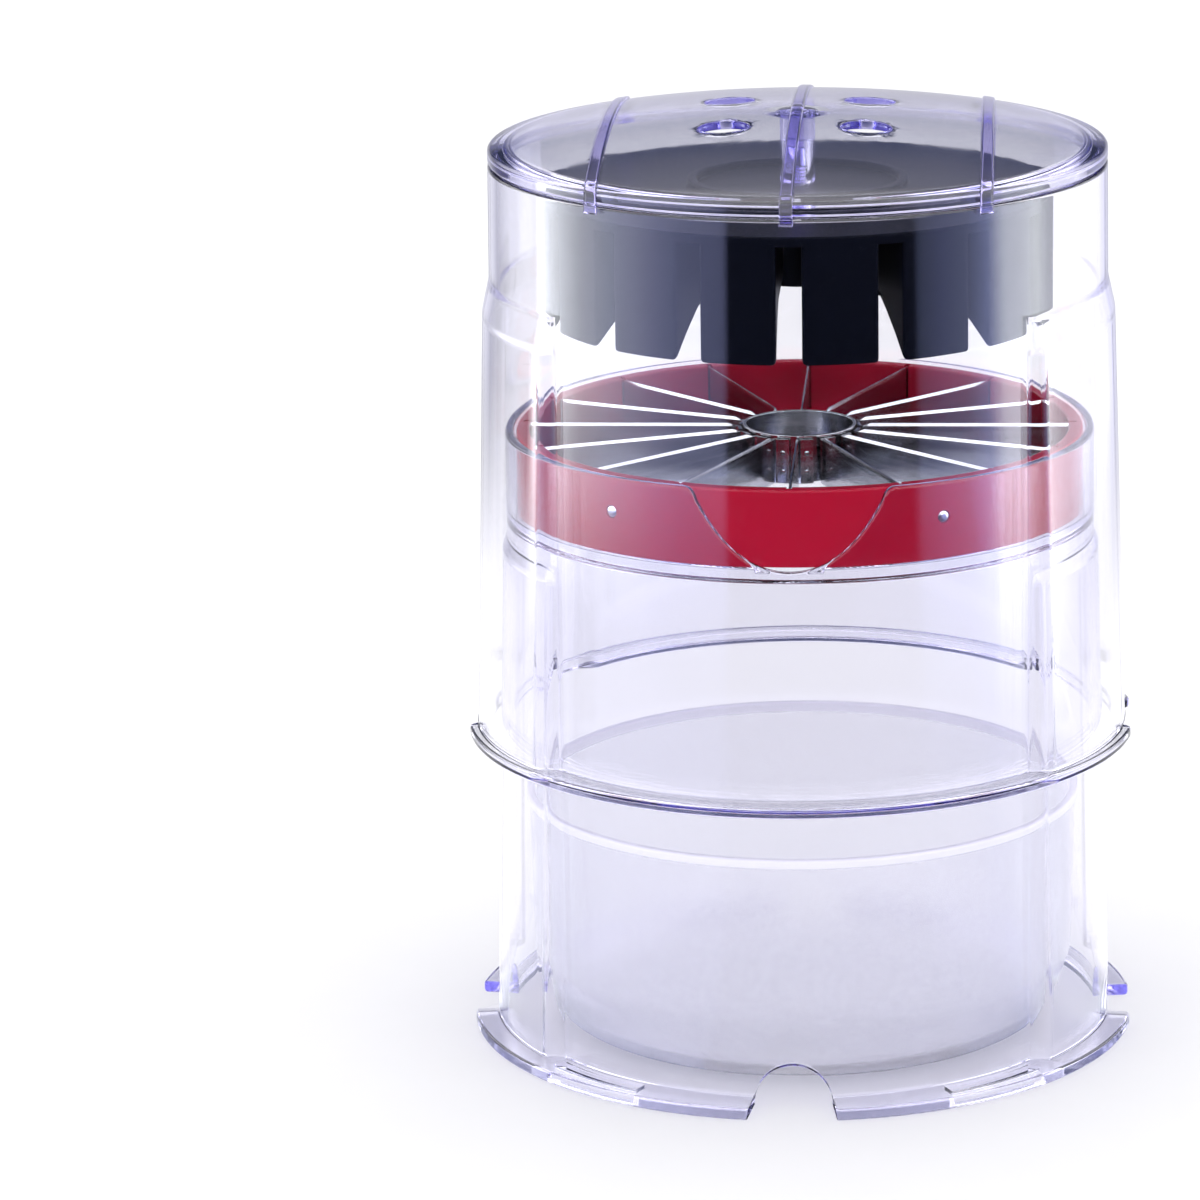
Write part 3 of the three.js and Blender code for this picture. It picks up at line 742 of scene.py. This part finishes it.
def finger():
    """A hollow finger, open below, along +X, whose end follows the hollow for the apple."""
    def at_level(outline, level):
        return np.column_stack((outline, np.full(len(outline), level)))

    def at_end(outline, lift):
        return np.column_stack((outline, finger_level(np.hypot(outline[:, 0], outline[:, 1])) + lift))

    edge = 0.8
    plain = finger_outline(0, FINGER_TIP, PUSHER_RADIUS, 0.9)
    rings = [at_level(plain, PLATE_TOP - 0.5), at_level(plain, FINGER_MIDDLE), at_end(plain, edge)]
    for k in range(1, 6):
        turn = math.radians(18 * k)
        inset = edge * (1 - math.cos(turn))
        outline = finger_outline(inset, FINGER_TIP + inset, PUSHER_RADIUS - inset, 0.9)
        rings.append(at_end(outline, edge * (1 - math.sin(turn))))
    flare, inside = 0.3, PUSHER_RADIUS - FINGER_WALL
    pocket = finger_outline(FINGER_WALL, POCKET_TIP, inside, 0.5)
    wide = finger_outline(FINGER_WALL - flare, POCKET_TIP - flare, inside + flare, 0.6)
    rings += [at_end(wide, 0), at_end(pocket, flare), at_level(pocket, PLATE_TOP - PLATE_THICKNESS + 0.1)]
    return loft("finger", rings)


def pusher_head():
    """The plate with its round ridge, the fingers and the hub."""
    bottom = PLATE_TOP - PLATE_THICKNESS
    ridge_inner, ridge_outer, ridge_height = PLATE_RIDGE
    ridge_top = PLATE_TOP + ridge_height
    plate = lathe("pusher_body", rounded([
        [SCREW_HOLE, bottom, 0.1], [PUSHER_RADIUS, bottom, 0.1], [PUSHER_RADIUS, PLATE_TOP, 0.5],
        [ridge_outer, PLATE_TOP, 0.3], [ridge_outer, ridge_top, 0.4], [ridge_inner, ridge_top, 0.4],
        [ridge_inner, PLATE_TOP, 0.3], [SCREW_HOLE, PLATE_TOP, 0.2],
    ]))
    one = finger()
    fingers = [turned(one, "finger", (i + 0.5) * 360 / BLADE_COUNT) for i in range(BLADE_COUNT)]
    bpy.data.objects.remove(one)
    combine(plate, joined("fingers", fingers), "UNION")
    hub = lathe("hub", rounded([
        [HUB_RADIUS - HUB_WALL, HUB_BOTTOM, 0.4], [HUB_RADIUS, HUB_BOTTOM, 0.6],
        [HUB_RADIUS, bottom + 0.5, 0], [HUB_RADIUS - HUB_WALL, bottom + 0.5, 0],
    ]), 96)
    return combine(plate, hub, "UNION")


def pusher_washer():
    low, high = heights("pusher_washer")
    outline = [[SCREW_HOLE, low, 0.1], [5, low, 0.25], [5, high, 0.1], [SCREW_HOLE, high, 0.1]]
    return lathe("washer_body", rounded(outline, 3), 64)


def pusher_screw():
    """A screw, head down, with a thread and a cross recess."""
    low, high = heights("pusher_screw")
    head = low + 1.8
    outline = [[0, low, 0], [2.2, low + 0.05, 0.6], [3.2, low + 1, 0.5]]
    outline += [[3.2, head, 0.1], [1.4, head, 0.15]]
    thread = [[1.4 if k % 2 else 1.15, head + 0.5 + 0.3 * k, 0] for k in range(20)]
    end = [[1.3, high - 0.3, 0], [0, high, 0]]
    screw = lathe("screw_body", rounded(outline + thread + end, 4), 64)
    for x, y in ((1.7, 0.32), (0.32, 1.7)):
        combine(screw, box_of("bar", [-x, -y, low - 1], [x, y, low + 1]), "DIFFERENCE")
    return screw


# ---------------------------------------------------------------- materials

# The second value is painted violet shade for the cap's ribs, and the third is its share on the lip. It stands
# in for the deeper violet that light takes on through their thick plastic.
CLEAR, RIB_PAINTED_VIOLET_SHADE, LIP_PAINTED_SHADE_SHARE = (0.995, 0.994, 1), (0.62, 0.57, 0.93), 0.14
DEPTH_TINT, CLEAR_SHADOW = (0.1, 0.04, 0.68), (0.965, 0.963, 0.985)
FROSTED, FROSTED_SHADOW, FROSTED_IOR = (0.97, 0.97, 0.98), (0.86, 0.865, 0.88), 1.4
WALL_CLARITY, RIM_CLARITY = 0.82, 0.25
DARK_LOW, DARK_HIGH, DARK_SPECULAR = (0.0015, 0.002, 0.005), (0.0032, 0.004, 0.009), 0.02
RED_LOW, RED_HIGH, RED_SPECULAR = (0.36, 0.004, 0.022), (0.43, 0.007, 0.032), 0.2
RED_SCATTER, RED_SCATTER_REACH = 0.12, (0.002, 0.0004, 0.0004)
STEEL_TINT = (1, 1.015, 1.05)


def new_material(name):
    """A material, its node tree and its shader."""
    material = bpy.data.materials.new(name)
    material.use_nodes = True
    tree = material.node_tree
    return material, tree, tree.nodes["Principled BSDF"]


def object_place(tree):
    return tree.nodes.new("ShaderNodeTexCoord").outputs["Object"]


def split_axes(tree, vector):
    split = tree.nodes.new("ShaderNodeSeparateXYZ")
    tree.links.new(vector, split.inputs["Vector"])
    return split.outputs


def noise(tree, scale, detail=2.0, stretch=(1, 1, 1)):
    """Object-space noise. A stretch above 1 makes its grain finer along that axis."""
    mapping = tree.nodes.new("ShaderNodeMapping")
    mapping.inputs["Scale"].default_value = stretch
    texture = tree.nodes.new("ShaderNodeTexNoise")
    texture.inputs["Scale"].default_value = scale
    texture.inputs["Detail"].default_value = detail
    tree.links.new(object_place(tree), mapping.inputs["Vector"])
    tree.links.new(mapping.outputs["Vector"], texture.inputs["Vector"])
    return texture.outputs["Fac"]


def to_range(tree, value, low, high, start=0.3, end=0.7):
    """The value mapped so that start gives low and end gives high, level beyond them."""
    ramp = tree.nodes.new("ShaderNodeMapRange")
    ramp.inputs["From Min"].default_value = start
    ramp.inputs["From Max"].default_value = end
    ramp.inputs["To Min"].default_value = low
    ramp.inputs["To Max"].default_value = high
    tree.links.new(value, ramp.inputs["Value"])
    return ramp.outputs["Result"]


def math_node(tree, operation, first, second=None):
    """Arithmetic on a socket and, if given, a second socket or a number."""
    node = tree.nodes.new("ShaderNodeMath")
    node.operation = operation
    tree.links.new(first, node.inputs[0])
    if isinstance(second, (int, float)):
        node.inputs[1].default_value = second
    elif second:
        tree.links.new(second, node.inputs[1])
    return node.outputs["Value"]


def add_bump(tree, shader, height, strength, distance):
    bump = tree.nodes.new("ShaderNodeBump")
    bump.inputs["Strength"].default_value = strength
    bump.inputs["Distance"].default_value = distance
    tree.links.new(height, bump.inputs["Height"])
    tree.links.new(bump.outputs["Normal"], shader.inputs["Normal"])


def mix_towards(tree, colour, goal, share):
    """A colour socket, mixed towards the goal colour by a share socket."""
    mix = tree.nodes.new("ShaderNodeMix")
    mix.data_type = "RGBA"
    mix.inputs["B"].default_value = (*goal, 1)
    tree.links.new(colour, mix.inputs["A"])
    tree.links.new(share, mix.inputs["Factor"])
    return mix.outputs["Result"]


def colour_mix(tree, share, low, high):
    """The low colour where the share is 0 and the high one where it is 1."""
    mix = tree.nodes.new("ShaderNodeMix")
    mix.data_type = "RGBA"
    mix.inputs["A"].default_value = (*low, 1)
    mix.inputs["B"].default_value = (*high, 1)
    tree.links.new(share, mix.inputs["Factor"])
    return mix.outputs["Result"]


def show_instead(tree, share, usual, other, output):
    """Gives the output the usual surface, and the other one by the share."""
    mix = tree.nodes.new("ShaderNodeMixShader")
    tree.links.new(share, mix.inputs["Fac"])
    tree.links.new(usual, mix.inputs[1])
    tree.links.new(other, mix.inputs[2])
    tree.links.new(mix.outputs["Shader"], tree.nodes[output].inputs["Surface"])


def let_light_through(tree, shader, tint):
    """Shadow and diffuse rays pass straight through with a tint, as light does through thin clear walls."""
    path = tree.nodes.new("ShaderNodeLightPath")
    passing = math_node(tree, "MAXIMUM", path.outputs["Is Shadow Ray"], path.outputs["Is Diffuse Ray"])
    clear = tree.nodes.new("ShaderNodeBsdfTransparent")
    clear.inputs["Color"].default_value = (*tint, 1)
    show_instead(tree, passing, shader.outputs["BSDF"], clear.outputs["BSDF"], "Material Output")


def painted_rib_shade_share(tree):
    """The share of painted violet shade, which stands in for the deeper violet that light takes on through
    thick plastic: 1 on the cap's ribs and 0 beside them, with a small share on its lip.
    """
    place = split_axes(tree, object_place(tree))
    across = math_node(tree, "ABSOLUTE", place["X"])
    beside = math_node(tree, "ABSOLUTE", math_node(tree, "SUBTRACT", across, RIB_SPACING * MM))
    nearest = math_node(tree, "MINIMUM", across, beside)
    half = 0.5 * RIB_WIDTH
    on_rib = to_range(tree, nearest, 1, 0, half * MM, (half + 0.15) * MM)
    lip_edge = (CAP_LIP_TOP - 0.3) * MM, (CAP_LIP_TOP + 0.4) * MM
    on_lip = to_range(tree, place["Z"], LIP_PAINTED_SHADE_SHARE, 0, *lip_edge)
    return math_node(tree, "MAXIMUM", on_rib, on_lip)


def clear_plastic(name, ior, density, painted_shade_share=None):
    """Clear plastic with a violet cast where it is seen along its length, and painted violet shade where the
    given share puts it.
    """
    material, tree, shader = new_material(name)
    tree.links.new(to_range(tree, noise(tree, 90, 4), 0.008, 0.035), shader.inputs["Roughness"])
    add_bump(tree, shader, noise(tree, 45, 1, (1, 1, 0.35)), 0.03, 0.0006)
    shader.inputs["Base Color"].default_value = (*CLEAR, 1)
    if painted_shade_share:
        # Painted violet shade on the ribs and the lip, mixed into the base colour.
        cast = colour_mix(tree, painted_shade_share(tree), CLEAR, RIB_PAINTED_VIOLET_SHADE)
        tree.links.new(cast, shader.inputs["Base Color"])
    shader.inputs["Transmission Weight"].default_value = 1
    shader.inputs["IOR"].default_value = ior
    tint = tree.nodes.new("ShaderNodeVolumeAbsorption")
    tint.inputs["Color"].default_value = (*DEPTH_TINT, 1)
    tint.inputs["Density"].default_value = density
    tree.links.new(tint.outputs["Volume"], tree.nodes["Material Output"].inputs["Volume"])
    let_light_through(tree, shader, CLEAR_SHADOW)
    return material


def frosted_plastic():
    """Frosted plastic that is milkier at the bowl's rim."""
    material, tree, shader = new_material("frosted_plastic")
    grain = noise(tree, 900, 3)
    tree.links.new(to_range(tree, grain, 0.16, 0.26), shader.inputs["Roughness"])
    add_bump(tree, shader, grain, 0.08, 0.0002)
    rim = (BOWL_HEIGHT - 1.9) * MM, (BOWL_HEIGHT - 1.5) * MM
    level = split_axes(tree, object_place(tree))["Z"]
    clarity = to_range(tree, level, WALL_CLARITY, RIM_CLARITY, *rim)
    tree.links.new(clarity, shader.inputs["Transmission Weight"])
    shader.inputs["Base Color"].default_value = (*FROSTED, 1)
    shader.inputs["IOR"].default_value = FROSTED_IOR
    let_light_through(tree, shader, FROSTED_SHADOW)
    return material


def dark_plastic():
    material, tree, shader = new_material("dark_plastic")
    tree.links.new(colour_mix(tree, noise(tree, 35, 3), DARK_LOW, DARK_HIGH), shader.inputs["Base Color"])
    grain = noise(tree, 1600, 2)
    tree.links.new(to_range(tree, grain, 0.28, 0.36), shader.inputs["Roughness"])
    add_bump(tree, shader, grain, 0.03, 0.0001)
    shader.inputs["Specular IOR Level"].default_value = DARK_SPECULAR
    return material


def red_plastic():
    material, tree, shader = new_material("red_plastic")
    tree.links.new(colour_mix(tree, noise(tree, 25, 3), RED_LOW, RED_HIGH), shader.inputs["Base Color"])
    tree.links.new(to_range(tree, noise(tree, 700, 2), 0.13, 0.22), shader.inputs["Roughness"])
    add_bump(tree, shader, noise(tree, 140, 2), 0.04, 0.0003)
    shader.inputs["Specular IOR Level"].default_value = RED_SPECULAR
    shader.inputs["Subsurface Weight"].default_value = RED_SCATTER
    shader.inputs["Subsurface Radius"].default_value = RED_SCATTER_REACH
    return material


def steel(name, shade):
    """Steel with a fine upright brushing."""
    material, tree, shader = new_material(name)
    brushed = noise(tree, 260, 3, (0.25, 0.25, 6))
    low, high = ([shade * level * tint for tint in STEEL_TINT] for level in (0.8, 1))
    tree.links.new(colour_mix(tree, brushed, low, high), shader.inputs["Base Color"])
    tree.links.new(to_range(tree, brushed, 0.1, 0.22), shader.inputs["Roughness"])
    add_bump(tree, shader, brushed, 0.05, 0.00005)
    shader.inputs["Metallic"].default_value = 1
    return material


# ---------------------------------------------------------------- stage, light and camera

# Where the camera stands round the object, in degrees and mm, and how it looks at it.
VIEW_AZIMUTH, VIEW_DISTANCE, VIEW_HEIGHT, VIEW_PITCH, VIEW_ROLL = 2.14, 926.28, 325.35, 15.24, -0.43
VIEW_LENS, VIEW_SHIFT, SENSOR_WIDTH = 169.8, -0.1674, 36

WORLD_STRENGTH = 1.15
SOFTBOX_AIM, SOFTBOX_POWER = (0, 0, 0.08), 3
SOFTBOXES = [
    ("left_softbox", (-0.75, -0.62, 0.25), (0.75, 1.1)),
    ("right_softbox", (0.85, -0.6, 0.25), (0.7, 1.1)),
    ("top_softbox", (0.1, 0.25, 1.2), (1.2, 1.2)),
]
FLOOR_RADIUS, FLOOR_HOLE, FLOOR_TOP, FLOOR_UNDER = 4000, 2, -0.15, -2
PAPER_LOW, PAPER_HIGH = (0.78, 0.78, 0.785), (0.8, 0.8, 0.805)
PAPER_ROUGHNESS, PAPER_SPECULAR = 0.6, 0.2

# The studio that reflections see: its radiance by degrees round from the front, positive to the right.
GLOW_STRENGTH = 8
GLOW = [
    (-180, 0.6, 0.6, 0.66), (-155, 0.9, 0.9, 1), (-140, 0.35, 0.35, 0.42), (-108, 0.35, 0.35, 0.42),
    (-105, 6.8, 7, 7.3), (-98, 6.1, 6.3, 6.7), (-91, 4.8, 5, 5.4), (-83, 3.4, 3.5, 4),
    (-70, 2.6, 2.8, 3.6), (-60, 2.1, 2.2, 3.1), (-50, 1.45, 1.55, 2.5), (-40, 1, 1.1, 1.9),
    (-24.5, 0.75, 0.82, 1.45), (-23, 0.01, 0.01, 0.01), (44, 0.01, 0.01, 0.01), (45.5, 0.35, 0.41, 0.7),
    (54, 0.58, 0.65, 1.2), (65, 0.85, 0.95, 1.6), (74, 1.5, 1.7, 3), (82, 4.6, 4.8, 5.6),
    (90, 4.7, 4.9, 5.5), (98, 5.2, 5.4, 5.7), (104, 3, 3.1, 3.4), (110, 1.8, 1.8, 2),
    (140, 1.5, 1.5, 1.7), (155, 0.9, 0.9, 1.1), (180, 0.6, 0.6, 0.66),
]
# Parts of that studio: colours over GLOW_STRENGTH, and where along a direction's axis each begins and is full.
OVERHEAD_FROM, OVERHEAD_FULL, OVERHEAD = 0.72, 0.86, (0.4, 0.4, 0.42)
BACK_FROM, BACK_FULL = 0.8, 0.93
BACKDROP_TOP, DARK_FROM, ABOVE_BACKDROP = 0.1, 0.22, (0.010, 0.012, 0.024)
FRONT_BOX_FROM, FRONT_BOX_FULL, FRONT_BOX_END, FRONT_BOX_GONE = 0.05, 0.15, 0.72, 0.85
FRONT_BOX = (0.36, 0.36, 0.38)
FLOOR_BACK_FROM, FLOOR_BACK_FULL, FLOOR_BACK = 0.15, 0.35, (0.15, 0.15, 0.155)
# The floor's share of the glow is NEAR_GLOW close to GLOW_MIDDLE, and all of it farther out, in metres.
FLOOR_GLOW_FROM, FLOOR_GLOW_FULL, NEAR_GLOW = 0.3, 0.54, 0.15
GLOW_MIDDLE = (-0.045, 0, 0)


def studio_glow(tree, direction):
    """The radiance that a reflection sees round the object, and the direction's components."""
    axes = split_axes(tree, direction)
    angle = math_node(tree, "ARCTAN2", axes["X"], math_node(tree, "MULTIPLY", axes["Y"], -1))
    ramp = tree.nodes.new("ShaderNodeValToRGB")
    tree.links.new(to_range(tree, angle, 0, 1, -math.pi, math.pi), ramp.inputs["Fac"])
    stops = ramp.color_ramp.elements
    while len(stops) < len(GLOW):
        stops.new(0.5)
    for stop, (degrees, *_) in zip(stops, GLOW):
        stop.position = (degrees + 180) / 360
    for stop, (_, *radiance) in zip(stops, GLOW):
        stop.color = (*(value / GLOW_STRENGTH for value in radiance), 1)
    return ramp.outputs["Color"], axes


def seen_in_reflection(tree):
    """1 for a ray that has been reflected on its way from the camera, or else 0."""
    path = tree.nodes.new("ShaderNodeLightPath")
    return math_node(tree, "GREATER_THAN", path.outputs["Glossy Depth"], 0.5)


def distance_from(tree, place, middle):
    away = tree.nodes.new("ShaderNodeVectorMath")
    away.operation = "DISTANCE"
    away.inputs[1].default_value = middle
    tree.links.new(place, away.inputs[0])
    return away.outputs["Value"]


def floor_glow(tree):
    """The floor's colour in reflections: the studio's glow, dim near the object and even behind it."""
    place = tree.nodes.new("ShaderNodeNewGeometry").outputs["Position"]
    around, axes = studio_glow(tree, place)
    beside = distance_from(tree, place, GLOW_MIDDLE)
    near = to_range(tree, beside, 1, 0, FLOOR_GLOW_FROM, FLOOR_GLOW_FULL)
    backness = math_node(tree, "DIVIDE", axes["Y"], distance_from(tree, place, (0, 0, 0)))
    behind = to_range(tree, backness, 0, 1, FLOOR_BACK_FROM, FLOOR_BACK_FULL)
    dim = mix_towards(tree, around, (0, 0, 0), math_node(tree, "MULTIPLY", near, 1 - NEAR_GLOW))
    return mix_towards(tree, dim, FLOOR_BACK, math_node(tree, "MULTIPLY", near, behind))


def floor_paper():
    """Pale paper that shows the studio's glow to reflections."""
    material, tree, shader = new_material("floor_paper")
    tree.links.new(colour_mix(tree, noise(tree, 60, 3), PAPER_LOW, PAPER_HIGH), shader.inputs["Base Color"])
    shader.inputs["Roughness"].default_value = PAPER_ROUGHNESS
    shader.inputs["Specular IOR Level"].default_value = PAPER_SPECULAR
    glow = tree.nodes.new("ShaderNodeEmission")
    glow.inputs["Strength"].default_value = GLOW_STRENGTH
    tree.links.new(floor_glow(tree), glow.inputs["Color"])
    seen = seen_in_reflection(tree)
    show_instead(tree, seen, shader.outputs["BSDF"], glow.outputs["Emission"], "Material Output")
    return material


def add_floor():
    turns = np.linspace(0, 2 * math.pi, 96, endpoint=False)
    outer = [(FLOOR_RADIUS, FLOOR_TOP), (FLOOR_RADIUS, FLOOR_UNDER)]
    hole = [(FLOOR_HOLE, FLOOR_UNDER), (FLOOR_HOLE, FLOOR_TOP)]
    rings = [np.array([[r * math.cos(a), r * math.sin(a), z] for a in turns]) for r, z in outer + hole]
    obj = loft("floor", rings, closed=True)
    obj.data.materials.append(floor_paper())
    obj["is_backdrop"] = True


def add_softbox(name, place, size):
    """A soft light that lights the object without being reflected in it."""
    light = bpy.data.lights.new(name, "AREA")
    light.shape = "RECTANGLE"
    light.size, light.size_y = size
    light.energy = SOFTBOX_POWER
    obj = bpy.data.objects.new(name, light)
    obj.location = Vector(place)
    obj.rotation_euler = (Vector(SOFTBOX_AIM) - Vector(place)).to_track_quat("-Z", "Y").to_euler()
    obj.visible_glossy = False
    bpy.context.scene.collection.objects.link(obj)


def studio_sky(tree):
    """The world's colour in reflections."""
    direction = tree.nodes.new("ShaderNodeTexCoord").outputs["Generated"]
    around, axes = studio_glow(tree, direction)
    level, back = axes["Z"], axes["Y"]
    behind = to_range(tree, back, 0, 1, BACK_FROM, BACK_FULL)
    dark = math_node(tree, "MULTIPLY", behind, to_range(tree, level, 0, 1, BACKDROP_TOP, DARK_FROM))
    before = to_range(tree, back, 1, 0, FRONT_BOX_END, FRONT_BOX_GONE)
    front = math_node(tree, "MULTIPLY", before, to_range(tree, level, 0, 1, FRONT_BOX_FROM, FRONT_BOX_FULL))
    high = to_range(tree, level, 0, 1, OVERHEAD_FROM, OVERHEAD_FULL)
    sky = mix_towards(tree, around, ABOVE_BACKDROP, dark)
    sky = mix_towards(tree, sky, FRONT_BOX, front)
    return mix_towards(tree, sky, OVERHEAD, high)


def add_world():
    """Even white light, except that reflections see a studio with dark and bright parts."""
    world = bpy.data.worlds.new("studio")
    bpy.context.scene.world = world
    world.use_nodes = True
    tree = world.node_tree
    white = tree.nodes["Background"]
    white.inputs["Color"].default_value = (1, 1, 1, 1)
    white.inputs["Strength"].default_value = WORLD_STRENGTH
    seen = tree.nodes.new("ShaderNodeBackground")
    seen.inputs["Strength"].default_value = GLOW_STRENGTH
    tree.links.new(studio_sky(tree), seen.inputs["Color"])
    reflected = seen_in_reflection(tree)
    show_instead(tree, reflected, white.outputs["Background"], seen.outputs["Background"], "World Output")


def add_camera():
    data = bpy.data.cameras.new("camera")
    data.sensor_width = SENSOR_WIDTH
    data.lens = VIEW_LENS
    data.shift_x = VIEW_SHIFT
    data.clip_start, data.clip_end = 0.01, 50
    obj = bpy.data.objects.new("camera", data)
    turn = math.radians(VIEW_AZIMUTH)
    across, away = VIEW_DISTANCE * math.sin(turn), -VIEW_DISTANCE * math.cos(turn)
    obj.location = (across * MM, away * MM, VIEW_HEIGHT * MM)
    level = Matrix.Rotation(turn, 4, "Z") @ Matrix.Rotation(math.radians(90 - VIEW_PITCH), 4, "X")
    obj.rotation_euler = (level @ Matrix.Rotation(math.radians(VIEW_ROLL), 4, "Z")).to_euler()
    bpy.context.scene.collection.objects.link(obj)
    bpy.context.scene.camera = obj


def set_light_paths():
    """Enough bounces for light to cross all the clear walls."""
    scene = bpy.context.scene
    scene.view_settings.view_transform = "Standard"
    cycles = scene.cycles
    cycles.max_bounces = 32
    cycles.transmission_bounces = 32
    cycles.glossy_bounces = 12
    cycles.transparent_max_bounces = 48


# ---------------------------------------------------------------- the whole


def build_pieces():
    frosted, dark, red = frosted_plastic(), dark_plastic(), red_plastic()
    metal = steel("steel", 0.75)
    tube_metal = steel("tube_steel", 0.42)
    blade_metal = steel("blade_steel", 0.55)
    base_clear = clear_plastic("base_clear_plastic", 1.4, 30)
    sleeve_clear = clear_plastic("sleeve_clear_plastic", 1.5, 24)
    # The cap's clear plastic gets painted violet shade on its ribs and lip.
    cap_clear = clear_plastic("cap_clear_plastic", 1.5, 42, painted_rib_shade_share)
    finish_piece(catch_bowl(), "bowl", frosted, ["catch_bowl"])
    finish_piece(base_housing(), "base", base_clear, ["base_housing"])
    finish_piece(blade_ring(), "blade_cartridge", red, ["blade_ring"])
    finish_piece(core_tube(), "blade_cartridge", tube_metal, ["core_tube"])
    one = blade_body()
    for i in range(BLADE_COUNT):
        name = f"blade_{i + 1:02d}"
        blade = turned(one, name + "_steel", i * 360 / BLADE_COUNT - 90)
        finish_piece(blade, "blade_cartridge", blade_metal, [name], 25)
    bpy.data.objects.remove(one)
    for i, angle in enumerate(PIN_ANGLES):
        pin = ring_pin(f"pin_{i + 1}", angle)
        finish_piece(pin, "blade_cartridge", metal, [f"ring_pin_{i + 1}"])
    finish_piece(press_sleeve(), "press", sleeve_clear, ["press_sleeve"])
    finish_piece(press_cap(), "press", cap_clear, ["press_cap"])
    finish_piece(pusher_head(), "press", dark, ["pusher_head"])
    finish_piece(pusher_washer(), "press", metal, ["pusher_washer"])
    finish_piece(pusher_screw(), "press", metal, ["pusher_screw"])


def write_size():
    boxes = {"cad": CAD_BOX, "visual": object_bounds()}
    plain = {name: [list(map(float, corner)) for corner in box] for name, box in boxes.items()}


set_light_paths()
add_camera()
add_world()
for softbox in SOFTBOXES:
    add_softbox(*softbox)
add_floor()
build_pieces()
write_size()
